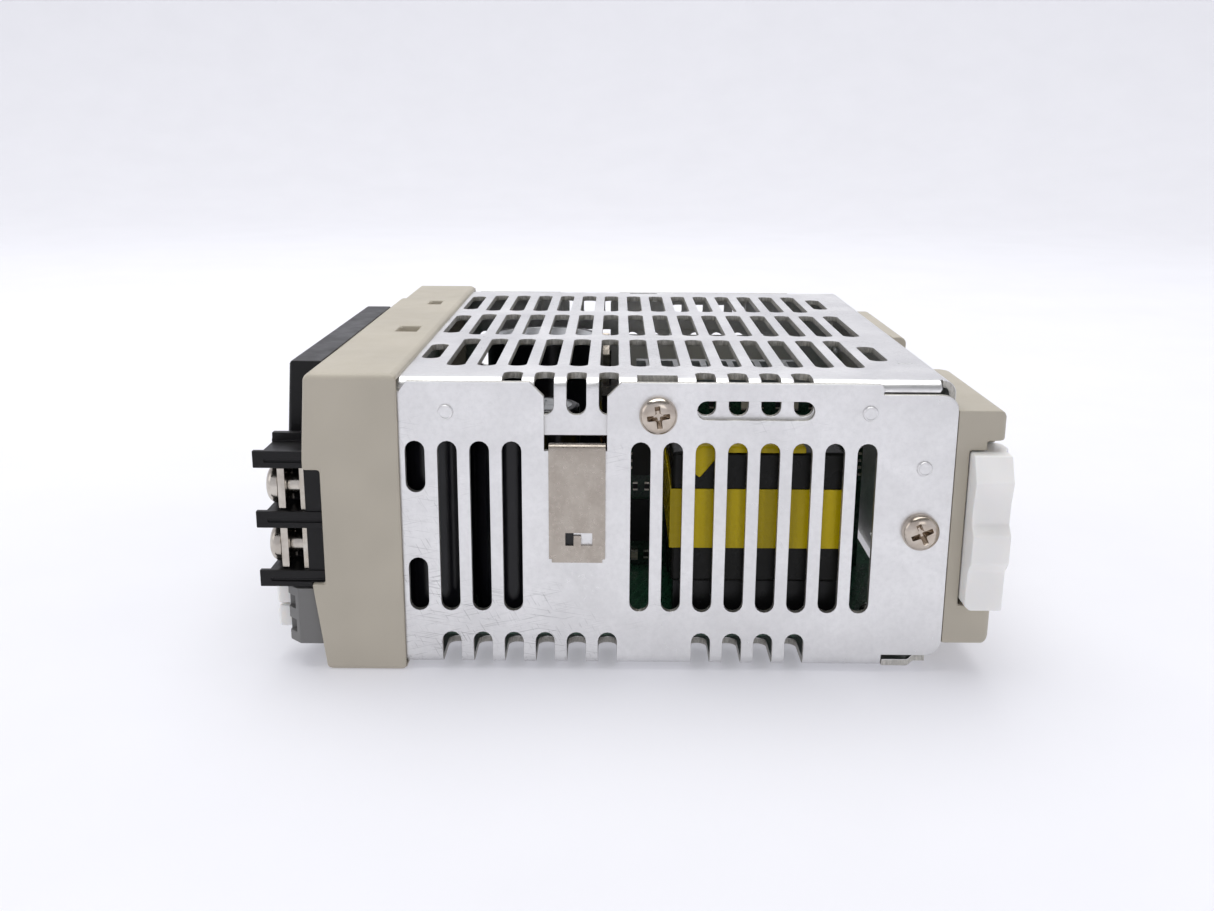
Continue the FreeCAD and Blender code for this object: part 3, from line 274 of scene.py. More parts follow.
def moved(bm, at, along=(0, 0, 1), spin=0.0):
    """Stands a bmesh drawn about +Z at a point, pointing along a direction."""
    turn = Vector((0, 0, 1)).rotation_difference(Vector(along)).to_matrix().to_4x4()
    bm.transform(Matrix.Translation(Vector(at)) @ turn @ Matrix.Rotation(math.radians(spin), 4, "Z"))
    return bm


def merged(parts):
    out = bmesh.new()
    for bm in parts:
        mesh = bpy.data.meshes.new("part")
        bm.to_mesh(mesh)
        bm.free()
        out.from_mesh(mesh)
        bpy.data.meshes.remove(mesh)
    return out


def carved(bm, cutter):
    """The bmesh with the cutter's volume taken out of it."""
    objects = []
    for part in (bm, cutter):
        mesh = bpy.data.meshes.new("work")
        part.to_mesh(mesh)
        part.free()
        objects.append(bpy.data.objects.new("work", mesh))
        scene.collection.objects.link(objects[-1])
    boolean = objects[0].modifiers.new("carve", "BOOLEAN")
    boolean.object = objects[1]
    boolean.operation = "DIFFERENCE"
    boolean.solver = "EXACT"
    graph = bpy.context.evaluated_depsgraph_get()
    result = bpy.data.meshes.new_from_object(objects[0].evaluated_get(graph))
    out = bmesh.new()
    out.from_mesh(result)
    bpy.data.meshes.remove(result)
    for obj in objects:
        mesh = obj.data
        bpy.data.objects.remove(obj)
        bpy.data.meshes.remove(mesh)
    return out


def loft(loops):
    """A closed body through equal loops of (x, y, z) points, capped at both ends."""
    bm = bmesh.new()
    rings = [[bm.verts.new(p) for p in loop] for loop in loops]
    n = len(loops[0])
    for a, b in zip(rings, rings[1:]):
        for i in range(n):
            j = (i + 1) % n
            bm.faces.new((a[i], a[j], b[j], b[i]))
    bm.faces.new(rings[0][::-1])
    bm.faces.new(rings[-1])
    bmesh.ops.recalc_face_normals(bm, faces=bm.faces)
    return bm


def tube(path, across, r, sides=8):
    """A round wire along a closed path of points; across holds each point's sideways direction."""
    bm = bmesh.new()
    n = len(path)
    rings = []
    for i in range(n):
        ahead = (path[(i + 1) % n] - path[i - 1]).normalized()
        out = ahead.cross(across[i]).normalized()
        side = out.cross(ahead)
        angles = [2 * math.pi * k / sides for k in range(sides)]
        rings.append([bm.verts.new(path[i] + r * (math.cos(a) * out + math.sin(a) * side)) for a in angles])
    for i in range(n):
        a, b = rings[i], rings[(i + 1) % n]
        for k in range(sides):
            j = (k + 1) % sides
            bm.faces.new((a[k], a[j], b[j], b[k]))
    bmesh.ops.recalc_face_normals(bm, faces=bm.faces)
    return bm


def painted(bm, index):
    """The bmesh with every face set to one of its piece's materials."""
    for face in bm.faces:
        face.material_index = index
    return bm


def block(x, y, z):
    """A box from its three (low, high) ranges."""
    return loft([[(x[0], y[0], h), (x[1], y[0], h), (x[1], y[1], h), (x[0], y[1], h)] for h in z])


# ---------------------------------------------------------------- material helpers
class Shader:
    """A Principled material with a few procedural layers in the piece's own millimetres."""

    def __init__(self, name, color, roughness, metallic=0.0, **sockets):
        self.material = bpy.data.materials.new(name)
        self.material.use_nodes = True
        self.tree = self.material.node_tree
        self.shader = self.tree.nodes["Principled BSDF"]
        self.shader.inputs["Base Color"].default_value = (*color, 1)
        self.shader.inputs["Roughness"].default_value = roughness
        self.shader.inputs["Metallic"].default_value = metallic
        for key, value in sockets.items():
            self.shader.inputs[key.replace("_", " ")].default_value = value
        self.color, self.roughness = color, roughness
        self.coords = self.tree.nodes.new("ShaderNodeTexCoord").outputs["Object"]
        self.bump = None

    def link(self, a, b):
        self.tree.links.new(a, b)

    def scaled(self, per_mm, turn=0.0):
        """Coordinates in millimetres times the given numbers, after a turn in degrees about X."""
        source = self.coords
        if turn:
            first = self.tree.nodes.new("ShaderNodeMapping")
            first.inputs["Rotation"].default_value = (math.radians(turn), 0, 0)
            self.link(source, first.inputs["Vector"])
            source = first.outputs["Vector"]
        node = self.tree.nodes.new("ShaderNodeMapping")
        scale = (per_mm,) * 3 if isinstance(per_mm, (int, float)) else per_mm
        node.inputs["Scale"].default_value = [1000 * s for s in scale]
        self.link(source, node.inputs["Vector"])
        return node.outputs["Vector"]

    def noise(self, per_mm, detail=3.0, rough=0.55, distortion=0.0, turn=0.0):
        node = self.tree.nodes.new("ShaderNodeTexNoise")
        node.inputs["Scale"].default_value = 1.0
        node.inputs["Detail"].default_value = detail
        node.inputs["Roughness"].default_value = rough
        node.inputs["Distortion"].default_value = distortion
        self.link(self.scaled(per_mm, turn), node.inputs["Vector"])
        return node.outputs["Fac"]

    def mapped(self, value, low, high, to_low, to_high):
        node = self.tree.nodes.new("ShaderNodeMapRange")
        for key, number in zip(("From Min", "From Max", "To Min", "To Max"), (low, high, to_low, to_high)):
            node.inputs[key].default_value = number
        self.link(value, node.inputs["Value"])
        return node.outputs["Result"]

    def mix(self, factor, a, b):
        node = self.tree.nodes.new("ShaderNodeMix")
        node.data_type = "RGBA"
        self.link(factor, node.inputs["Factor"])
        for key, value in (("A", a), ("B", b)):
            socket = [s for s in node.inputs if s.name == key and s.type == "RGBA"][0]
            if isinstance(value, (tuple, list)):
                socket.default_value = (*value, 1)
            else:
                self.link(value, socket)
        return [s for s in node.outputs if s.type == "RGBA"][0]

    def math(self, operation, a, b):
        node = self.tree.nodes.new("ShaderNodeMath")
        node.operation = operation
        for socket, value in zip(node.inputs, (a, b)):
            if isinstance(value, (int, float)):
                socket.default_value = value
            else:
                self.link(value, socket)
        return node.outputs[0]

    def set_color(self, value):
        self.link(value, self.shader.inputs["Base Color"])

    def set_roughness(self, value):
        self.link(value, self.shader.inputs["Roughness"])

    def add_bump(self, height, strength, distance_mm):
        node = self.tree.nodes.new("ShaderNodeBump")
        node.inputs["Strength"].default_value = strength
        node.inputs["Distance"].default_value = distance_mm * MM
        self.link(height, node.inputs["Height"])
        if self.bump is not None:
            self.link(self.bump, node.inputs["Normal"])
        self.bump = node.outputs["Normal"]
        self.link(self.bump, self.shader.inputs["Normal"])


def shade(color, factor):
    return tuple(min(1.0, c * factor) for c in color)


def moulded(name, color, roughness, grain=3.0, depth=0.012, **sockets):
    """Moulded plastic: fine spark-eroded grain, slow colour drift and a little uneven gloss."""
    s = Shader(name, color, roughness, **sockets)
    drift = s.noise(0.05, 2.0)
    s.set_color(s.mix(s.mapped(drift, 0.35, 0.65, 0, 1), shade(color, 0.95), shade(color, 1.05)))
    gloss = s.noise(0.25, 3.0)
    s.set_roughness(s.mapped(gloss, 0.3, 0.7, roughness - 0.05, roughness + 0.06))
    s.add_bump(s.noise(grain, 2.0, 0.6), 0.5, depth)
    s.add_bump(s.noise(0.12, 1.0), 0.2, 0.05)
    return s.material


def plated(name, color, roughness, tint, grain=(0.6, 0.6, 0.6), **sockets):
    """Plated metal: faint tint drift, fine handling marks."""
    s = Shader(name, color, roughness, 1.0, **sockets)
    s.set_color(s.mix(s.mapped(s.noise(0.35, 3.0), 0.35, 0.65, 0, 1), color, tint))
    s.set_roughness(s.mapped(s.noise(1.4, 4.0), 0.3, 0.7, roughness * 0.75, roughness * 1.4))
    s.add_bump(s.noise(grain, 4.0, 0.7), 0.25, 0.01)
    return s.material


def sheet_aluminium():
    """Mill-finish sheet: fine rolling lines, mottled grain, soft blotches and sparse light scratches."""
    color = (0.80, 0.795, 0.79)
    s = Shader("sheet_aluminium", color, 0.36, 1.0)
    lines = s.noise((0.04, 4.5, 4.5), 4.0, 0.7)
    mottle = s.noise(1.1, 5.0, 0.75)
    blotch = s.noise(0.07, 4.0, 0.6, 0.5)
    tone = s.mix(s.mapped(blotch, 0.32, 0.68, 0, 1), shade(color, 0.90), shade(color, 1.06))
    tone = s.mix(s.mapped(mottle, 0.42, 0.72, 0, 0.35), tone, shade(color, 0.80))
    rough = s.math("ADD", s.mapped(blotch, 0.3, 0.7, 0.30, 0.40), s.mapped(mottle, 0.3, 0.7, -0.07, 0.09))
    patches = s.mapped(s.noise(0.05, 2.0), 0.52, 0.62, 0, 1)
    for stretch, turn in (((5.0, 0.10, 5.0), 9.0), ((6.0, 0.16, 6.0), -13.0), ((4.0, 0.3, 4.0), 62.0)):
        marks = s.mapped(s.noise(stretch, 1.0, 0.5, 0.0, turn), 0.655, 0.685, 0, 1)
        marks = s.math("MULTIPLY", marks, patches)
        tone = s.mix(s.math("MULTIPLY", marks, 0.45), tone, shade(color, 0.5))
        rough = s.math("ADD", rough, s.math("MULTIPLY", marks, 0.12))
        s.add_bump(marks, 0.25, -0.006)
    s.set_color(tone)
    s.set_roughness(rough)
    s.add_bump(lines, 0.25, 0.004)
    s.add_bump(mottle, 0.25, 0.006)
    return s.material


def sheared_edge():
    """Punched wall of a hole: a torn grain, darker than the sheet, in lighter and darker patches."""
    color = (0.56, 0.545, 0.50)
    s = Shader("sheared_edge", color, 0.55, 1.0)
    grain = s.noise((2.6, 2.6, 0.8), 4.0, 0.8)
    s.set_color(s.mix(s.mapped(grain, 0.35, 0.65, 0, 1), shade(color, 0.62), shade(color, 1.25)))
    s.set_roughness(s.mapped(grain, 0.3, 0.7, 0.42, 0.66))
    s.add_bump(grain, 0.6, 0.04)
    return s.material


def tape_film():
    """Glossy polyester tape: ridges where it goes over the winding, and small wrinkles."""
    color = (0.52, 0.395, 0.002)
    s = Shader("yellow_tape", color, 0.26)
    s.shader.inputs["Specular IOR Level"].default_value = 0.18
    ridges = s.noise((0.35, 0.35, 0.01), 2.0, 0.5)
    s.set_color(s.mix(s.mapped(ridges, 0.38, 0.62, 0, 1), shade(color, 0.72), shade(color, 1.18)))
    s.set_roughness(s.mapped(s.noise(0.5, 3.0), 0.3, 0.7, 0.18, 0.34))
    s.add_bump(ridges, 0.5, 0.25)
    s.add_bump(s.noise(1.2, 3.0, 0.6), 0.3, 0.02)
    return s.material


def circuit_board():
    """Solder mask over copper tracks, which run in straight steps and show as a lighter green."""
    color = (0.006, 0.040, 0.020)
    s = Shader("solder_mask", color, 0.3)
    tracks = s.tree.nodes.new("ShaderNodeTexBrick")
    tracks.inputs["Scale"].default_value = 1.0
    tracks.inputs["Mortar Size"].default_value = 0.05
    tracks.inputs["Brick Width"].default_value = 1.7
    tracks.inputs["Row Height"].default_value = 0.6
    turn = s.tree.nodes.new("ShaderNodeMapping")
    turn.inputs["Rotation"].default_value = (0.9, 0.6, 0.3)
    s.link(s.scaled(0.45), turn.inputs["Vector"])
    s.link(turn.outputs["Vector"], tracks.inputs["Vector"])
    weave = s.noise(2.2, 2.0)
    tone = s.mix(s.mapped(weave, 0.3, 0.7, 0, 1), shade(color, 0.8), shade(color, 1.3))
    s.set_color(s.mix(tracks.outputs["Fac"], tone, (0.012, 0.075, 0.035)))
    s.set_roughness(s.mapped(weave, 0.3, 0.7, 0.24, 0.38))
    s.add_bump(tracks.outputs["Fac"], 0.4, 0.03)
    return s.material


MAT = {
    "sheet": sheet_aluminium(),
    "sheared": sheared_edge(),
    "nickel": plated("bright_nickel", (0.62, 0.56, 0.49), 0.14, (0.50, 0.43, 0.36)),
    "satin": plated("satin_nickel", (0.47, 0.425, 0.37), 0.30, (0.41, 0.365, 0.315), (0.15, 2.5, 2.5)),
    "terminal": plated("terminal_nickel", (0.60, 0.56, 0.50), 0.20, (0.45, 0.41, 0.36)),
    "zinc": plated("bright_zinc", (0.62, 0.63, 0.63), 0.26, (0.52, 0.53, 0.51)),
    "tin": plated("tinned_copper", (0.60, 0.57, 0.51), 0.3, (0.50, 0.45, 0.38)),
    "spring": plated("spring_steel", (0.55, 0.55, 0.56), 0.25, (0.45, 0.44, 0.43)),
    "sink": plated("extruded_aluminium", (0.62, 0.63, 0.64), 0.35, (0.54, 0.55, 0.56), (0.05, 0.05, 3.0)),
    "beige": moulded("beige_moulding", (0.47, 0.43, 0.35), 0.48, Specular_IOR_Level=0.35),
    "black": moulded("black_moulding", (0.0065, 0.0062, 0.0065), 0.38, Specular_IOR_Level=0.26),
    "grey": moulded("grey_moulding", (0.17, 0.168, 0.162), 0.48, Specular_IOR_Level=0.35),
    "white": moulded("white_moulding", (0.86, 0.85, 0.82), 0.42, 2.0, 0.008, Subsurface_Weight=0.35,
                     Subsurface_Scale=0.0012, Subsurface_Radius=(1.0, 0.85, 0.7)),
    "key": moulded("grey_key", (0.30, 0.305, 0.31), 0.4),
    "component": moulded("component_case", (0.012, 0.012, 0.012), 0.45, Specular_IOR_Level=0.4),
    "cream": moulded("cream_component", (0.62, 0.58, 0.46), 0.5),
    "ferrite": moulded("ferrite", (0.009, 0.009, 0.008), 0.28, 1.2, 0.02, Specular_IOR_Level=0.14),
    "bobbin": moulded("bobbin", (0.010, 0.010, 0.010), 0.3, Specular_IOR_Level=0.2),
    "sleeve": moulded("shrink_sleeve", (0.006, 0.006, 0.008), 0.2, 0.5, 0.03, Specular_IOR_Level=0.35),
    "led": moulded("light_pipe", (0.12, 0.50, 0.16), 0.3, 1.0, 0.002),
    "window": moulded("smoked_window", (0.66, 0.66, 0.68), 0.05, 0.2, 0.001, Transmission_Weight=1.0),
    "display": moulded("display_face", (0.02, 0.022, 0.02), 0.35),
    "segment": moulded("unlit_segment", (0.42, 0.41, 0.37), 0.4, 1.0, 0.002),
    "print": moulded("pad_print", (0.55, 0.55, 0.54), 0.5, 1.0, 0.001),
    "film": moulded("insulating_film", (0.62, 0.62, 0.58), 0.35),
    "tape": tape_film(),
    "copper": plated("enamelled_copper", (0.42, 0.17, 0.06), 0.24, (0.30, 0.10, 0.03)),
    "board": circuit_board(),
    "mark": moulded("board_marking", (0.60, 0.62, 0.58), 0.5, 1.0, 0.002),
    "glass": moulded("fuse_glass", (0.80, 0.83, 0.82), 0.05, 0.2, 0.001, Transmission_Weight=0.9),
}


# ---------------------------------------------------------------- case sheet metal
BASE_BEND = 1.8
COVER_BEND = 2.2
NOTCH_COLUMNS = (1, 2, 3, 4, 5, 6, 9, 10, 11, 12)
WRAP_COLUMNS = (3, 4, 5, 6, 9, 10, 11, 12)


def row_slots():
    """Three rows of sixteen vents through a large flat panel, as (u, v) loops."""
    loops = []
    for row, (x1, x0) in enumerate(ROWS):
        for column in range(VENT_COLUMNS):
            first, last = column == 0, column == VENT_COLUMNS - 1
            trim = 6.5 if (first or last) and row == 0 else 2.0 if first else 5.0 if last and row == 2 else 0.0
            y = vent_y(column)
            loops.append(slot_loop((HALF + x0 + trim + VENT_R, y), (HALF + x1 - trim - VENT_R, y), VENT_WIDTH))
    return loops


def mirrored(loop):
    return [(-u, v) for u, v in reversed(loop)]


def base_chassis():
    flat = HALF - BASE_BEND
    turn = math.pi / 2 * BASE_BEND
    bend_z = CASE_Z0 + BASE_BEND

    def up(z):
        return flat + turn + z - bend_z

    top = CHASSIS_TOP
    right = [(up(47.6), CASE_Y0), (up(47.6), SEAM_Y + 0.2), (up(top), SEAM_Y + 1.37), (up(top), -16.4),
             (up(top - 2.3), -14.1), (up(38.0), -14.1), (up(38.0), -4.0), (up(top - 2.3), -4.0), (up(top), -1.7),
             (up(top), 39.4), (up(top - 0.5), 39.9), (up(47.5), 39.9)]
    right += arc_points((up(45.0), CASE_Y1 - 2.5), 2.5, 0, 90)
    right += arc_points((up(5.6), CASE_Y1 - 2.5), 2.5, 90, 180)
    right += [(up(3.1), 42.1), (flat, 42.1), (flat, 42.35), (HALF - 0.6, 42.35), (HALF - 0.6, 49.5)]
    outline = right + [(-u, v) for u, v in reversed(right)]
    holes = row_slots()
    sides = []
    for k in (1, 2, 3, 7, 8, 9, 10, 11, 12, 13, 14):
        sides.append(slot_loop((up(10.5) + VENT_R, vent_y(k)), (up(39.5) - VENT_R, vent_y(k)), VENT_WIDTH))
    for z0, z1 in ((30.9, 39.5), (10.5, 19.7)):
        sides.append(slot_loop((up(z0) + VENT_R, vent_y(0)), (up(z1) - VENT_R, vent_y(0)), VENT_WIDTH))
    for k in NOTCH_COLUMNS:
        sides.append(slot_loop((HALF - 7.8, vent_y(k)), (up(6.7) - VENT_R, vent_y(k)), VENT_WIDTH))
    sides.append(slot_loop((up(44.75), 11.9), (up(44.75), 27.55), 3.1))
    sides += [circle_loop((up(z), y), 1.8) for y, z in CASE_SCREWS]
    holes += sides + [mirrored(s) for s in sides]
    bm = plate(outline, holes, SHEET, SHEET_EDGE)
    for sign in (-1, 1):
        sliced(bm, "u", sign * flat, sign * (flat + turn), 8)
    sliced(bm, "v", 46.5, 47.7, 4)
    for v in bm.verts:
        u, y, w = v.co
        sign, a = (1 if u > 0 else -1), abs(u)
        z = CASE_Z0 + w
        lip = y > 42.2 and a < HALF
        if a > flat and not lip:
            angle = min(a - flat, turn) / BASE_BEND
            x = flat + (BASE_BEND - w) * math.sin(angle)
            z = bend_z - (BASE_BEND - w) * math.cos(angle)
            z += max(a - flat - turn, 0)
            u = sign * x
        if lip and y > 46.5:
            s = min((y - 46.5) / 1.2, 1.0)
            z += 0.9 * s * s * (3 - 2 * s)
        v.co = (MID_X + u, y, z)
    bmesh.ops.recalc_face_normals(bm, faces=bm.faces)
    bosses = []
    for sign in (-1, 1):
        for y, z in BOSSES:
            profile = [(0, -0.05), (1.40, -0.05), (1.27, 0.02), (1.22, 0.12), (1.20, 0.42), (1.12, 0.52),
                       (0.98, 0.54), (0.86, 0.46), (0, 0.44)]
            button = turned(profile, 40)
            bosses.append(moved(button, (MID_X + sign * HALF, y, z), (sign, 0, 0)))
    return merged([bm] + bosses)


def top_cover():
    half = HALF - SHEET - 0.05
    flat = half - COVER_BEND
    turn = math.pi / 2 * COVER_BEND
    bend_z = CASE_Z1 - COVER_BEND
    rear = CASE_Y1 - COVER_BEND

    def down(z):
        return flat + turn + bend_z - z

    def back(z):
        return rear + turn + bend_z - z

    edge = flat + COVER_BEND * 1.39
    right = [(down(40.3), CASE_Y0), (down(40.3), 38.9), (down(41.3), 39.9), (edge, 39.9), (edge, 49.1),
             (edge - 0.5, 49.45), (flat, 49.45), (flat, 49.7), (half - SHEET, 49.7), (half - SHEET, back(3.4))]
    outline = right + [(-u, v) for u, v in reversed(right)]
    holes = row_slots()
    for k in WRAP_COLUMNS:
        low = slot_loop((HALF - 7.8 + VENT_R, vent_y(k)), (down(43.6) - VENT_R, vent_y(k)), VENT_WIDTH)
        far = slot_loop((HALF - 4.1 + VENT_R, vent_y(k)), (down(43.6) - VENT_R, vent_y(k)), VENT_WIDTH)
        holes += [low, mirrored(far)]
    ends = [rect_loop((HALF - 5.4, down(bend_z) - 0.1), (0.8, 7.3)), rect_loop((HALF - 17.4, HALF - 16.9), (45.7, 48.2)),
            circle_loop((down(44.0), 4.15), 1.55)]
    holes += ends + [mirrored(e) for e in ends]
    bm = plate(outline, holes, SHEET, SHEET_EDGE)
    for sign in (-1, 1):
        sliced(bm, "u", sign * flat, sign * (flat + turn), 8)
    sliced(bm, "v", rear, rear + turn, 8)
    for v in bm.verts:
        u, y, w = v.co
        sign, a = (1 if u > 0 else -1), abs(u)
        z = CASE_Z1 - w
        if y > rear:
            angle = min(y - rear, turn) / COVER_BEND
            z = bend_z + (COVER_BEND - w) * math.cos(angle) - max(y - rear - turn, 0)
            y = rear + (COVER_BEND - w) * math.sin(angle)
        elif a > flat and y < 49.6:
            angle = min(a - flat, turn) / COVER_BEND
            z = bend_z + (COVER_BEND - w) * math.cos(angle) - max(a - flat - turn, 0)
            u = sign * (flat + (COVER_BEND - w) * math.sin(angle))
        v.co = (MID_X + u, y, z)
    bmesh.ops.recalc_face_normals(bm, faces=bm.faces)
    return bm


# ---------------------------------------------------------------- screws
def recess_loop(arm, half, height):
    """A cross with small fillets in its inner corners, as points at one height."""
    corner = half * 1.5
    quarter = [(arm, -half), (arm, half), (corner, half), (half, corner)]
    loop = []
    for k in range(4):
        c, s = round(math.cos(math.pi / 2 * k)), round(math.sin(math.pi / 2 * k))
        loop += [(x * c - y * s, x * s + y * c, height) for x, y in quarter]
    return loop


def cross_screw(head_r, head_h, shank_r, length):
    """A pan-head screw with a tapered cross recess, standing on z = 0 with its head upwards."""
    dome = [(head_r * math.cos(a) ** 0.55, head_h * (0.28 + 0.72 * math.sin(a)))
            for a in (math.pi / 2 * k / 10 for k in range(10))]
    profile = [(0, -length), (shank_r * 0.6, -length), (shank_r, 0.8 - length), (shank_r, -0.02), (shank_r * 1.02, 0),
               (head_r * 0.97, 0), (head_r, head_h * 0.06)] + dome + [(0, head_h)]
    cutter = loft([recess_loop(head_r * 0.26, head_r * 0.075, head_h * 0.12),
                   recess_loop(head_r * 0.56, head_r * 0.125, head_h * 0.80),
                   recess_loop(head_r * 0.66, head_r * 0.15, head_h * 1.15)])
    return bevelled(carved(turned(profile, 72), cutter), head_r * 0.018, 2, 40.0)


def screw_set(kind, places):
    """Copies of one screw at (point, direction, spin) places, joined into one mesh."""
    return merged([moved(cross_screw(*kind), at, along, spin) for at, along, spin in places])


CASE_SCREW = (3.05, 2.0, 1.5, 5.0)
BOARD_SCREW = (2.6, 1.8, 1.5, 5.4)
FOOT_SCREW = (2.4, 1.6, 1.2, 3.6)
TERMINAL_SCREW = (3.25, 2.3, 1.75, 6.95)
BOARD_SCREWS = ((-48.0, -29.0), (-49.5, 43.0), (47.6, 42.5), (17.0, -37.0))
FOOT_SCREWS = ((-46.0, 14.0), (-46.0, 36.4), (11.6, 9.0), (11.6, 41.4))
BOARD_TOP = 6.8


def screws():
    spins = (8.0, 24.0, 61.0, 40.0)
    places = [((MID_X + sign * (HALF + 0.05), y, z), (sign, 0, 0), spins[i] * sign)
              for sign in (1, -1) for i, (y, z) in enumerate(CASE_SCREWS)]
    piece("case_screws_piece", "case", MAT["nickel"], screw_set(CASE_SCREW, places), ("case_screws",))
    places = [((MID_X + x, y, BOARD_TOP), (0, 0, 1), spins[i]) for i, (x, y) in enumerate(BOARD_SCREWS)]
    piece("board_screws_piece", "case", MAT["zinc"], screw_set(BOARD_SCREW, places), ("board_screws",))
    seat = CASE_Y1 - SHEET - 0.05
    places = [((MID_X + x, seat, z), (0, -1, 0), spins[i]) for i, (x, z) in enumerate(FOOT_SCREWS)]
    piece("foot_screws_piece", "case", MAT["zinc"], screw_set(FOOT_SCREW, places), ("foot_screws",))
    for side, poles in (("output", 2), ("input", 3)):
        for pole in range(1, poles + 1):
            name = f"{side}_screw_{pole}"
            low, high = mm_box(name)
            seat = (low + high) / 2
            seat.y = low.y + TERMINAL_SCREW[1]
            spin = (17.0 * pole + (9.0 if side == "input" else 31.0)) % 90
            head = screw_set(TERMINAL_SCREW, [(seat, (0, -1, 0), spin)])
            piece(name + "_piece", name, MAT["terminal"], head, (name,))


# ---------------------------------------------------------------- wound, canned and mounted components
def wound_ring():
    """Ring choke: a powder core under one layer of thick wire."""
    low, high = mm_box("output_choke")
    centre = (low + high) / 2
    tube_r = (high.x - low.x) / 2
    ring_r = (high.z - low.z) / 2 - tube_r
    wire, turns, steps = 0.45, 24, 20
    around = Vector((1, 0, 0))
    path, across, middle = [], [], []
    for i in range(turns * steps):
        phi = 2 * math.pi * i / (turns * steps)
        out = Vector((0, math.cos(phi), math.sin(phi)))
        a = turns * phi
        middle.append(centre + ring_r * out)
        path.append(middle[-1] + (tube_r - wire) * (math.cos(a) * out + math.sin(a) * around))
        across.append(around.cross(out))
    core = tube(middle[::steps // 2], [around] * (2 * turns), tube_r - 2.1 * wire, 24)
    return merged([tube(path, across, wire), painted(core, 1)])


def filter_coils():
    """Two coils of enamelled wire, each turn a rounded rectangle round its limb, on a pale former."""
    low, high = mm_box("line_filter_windings")
    wire, corner, depth = 0.35, 2.0, 8.0
    limb = (6.05, 2.3)
    count = int((high.z - low.z) / (2 * wire))
    parts = []
    for y in (low.y + depth / 2, high.y - depth / 2):
        centre = Vector(((low.x + high.x) / 2, y, low.z))
        half = ((high.x - low.x) / 2 - wire, depth / 2 - wire)
        turn = []
        for k, (su, sv) in enumerate(((1, 1), (-1, 1), (-1, -1), (1, -1))):
            middle = (su * (half[0] - corner), sv * (half[1] - corner))
            turn += arc_points(middle, corner, 90 * k, 90 * k + 90, 6)
        for k in range(count):
            path = [centre + Vector((u, v, wire * (2 * k + 1))) for u, v in turn]
            parts.append(tube(path, [Vector((0, 0, 1))] * len(path), wire))
        hole = rect_loop((-limb[0], limb[0]), (-limb[1], limb[1]))
        former = plate(inset(turn, wire * 0.6), [hole], high.z - low.z - 0.1, 0.1)
        parts.append(painted(moved(former, centre + Vector((0, 0, 0.05))), 1))
    return merged(parts)


def can(r, height):
    """A capacitor can in its sleeve; the bare end has a scored cross."""
    profile = [(0, 0), (r - 0.6, 0), (r - 0.18, 0.18), (r, 0.6), (r, 1.7), (r - 0.34, 2.0), (r - 0.45, 2.3),
               (r - 0.34, 2.6), (r, 2.9), (r, height - 0.7), (r - 0.2, height - 0.2), (r - 0.7, height),
               (r - 1.25, height), (r - 1.4, height - 0.06), (r - 1.5, height - 0.2), (0, height - 0.2)]
    arm = r * 0.66
    score = loft([recess_loop(arm, 0.10, height - 0.42), recess_loop(arm, 0.16, height + 0.1)])
    bm = carved(turned(profile, 64), score)
    for face in bm.faces:
        middle = face.calc_center_median()
        face.material_index = int(middle.z > height - 0.5 and middle.xy.length < r - 1.42)
    return bm


def cans(node, radius, spots):
    low, high = mm_box(node)
    return merged([moved(can(radius, high.z - low.z), (x, y, low.z)) for x, y in spots])


def small_part(x, y, z, length, width, height, body):
    """A surface-mounted part on the +X face: a body between two solder caps."""
    cap = length * 0.2
    core = block((x, x + height), (y - width / 2, y + width / 2), (z - length / 2 + cap, z + length / 2 - cap))
    ends = [block((x, x + height * 1.06), (y - width * 0.52, y + width * 0.52), (end, end + cap))
            for end in (z - length / 2, z + length / 2 - cap)]
    return merged([painted(core, body)] + [painted(end, 3) for end in ends])


def fitted_board():
    """The upright board: chips with their leads, resistors and small capacitors."""
    low, high = mm_box("control_board")
    face_x = high.x - 1.4
    board = bevelled(cad_mesh("control_board"), 0.05)
    for face in board.faces:
        face.material_index = int(face.calc_center_median().x > face_x + 0.05)
    parts = [board]
    places = [(y, z) for y in (1.2, 3.4) for z in (9.0, 22.6, 35.4, 37.6)]
    places += [(y, z) for y in (37.4, 39.6, 41.8) for z in (9.5, 12.5, 15.5, 18.5, 34.5, 37.5)]
    places += [(9.0 + 3.1 * k, 38.6) for k in range(9)]
    for k, (y, z) in enumerate(places):
        size = (1.6, 0.85, 0.5) if k % 3 else (2.0, 1.25, 0.9)
        parts.append(small_part(face_x, y, z, *size, 1 if k % 3 else 2))
    for y, z in ((0.6, 25.0), (0.4, 12.0), (38.0, 24.0)):
        for k in range(5):
            lead_z = (z + 1.0 + 1.35 * k, z + 1.45 + 1.35 * k)
            parts.append(painted(block((face_x, face_x + 0.5), (y - 0.75, y + 5.75), lead_z), 3))
    return merged(parts)


def digit(x, z, y, height=8.4, width=4.8, bar=0.5, gap=0.16):
    """One digit's seven unlit bars, raised from the display's face; the digit stands along X."""
    h, w = height / 2, width / 2
    ends = [((u, -w), (u, w)) for u in (-h, 0, h)]
    ends += [((u, v), (u + h, v)) for v in (-w, w) for u in (-h, 0)]
    parts = []
    for a, b in ends:
        a, b = Vector(a), Vector(b)
        d = (b - a).normalized()
        n = Vector((-d.y, d.x)) * bar
        outline = [a + d * gap, a + d * (gap + bar) - n, b - d * (gap + bar) - n, b - d * gap,
                   b - d * (gap + bar) + n, a + d * (gap + bar) + n]
        parts.append(loft([[(x + p.x, level, z + p.y) for p in outline] for level in (y, y - 0.12)]))
    return merged(parts)


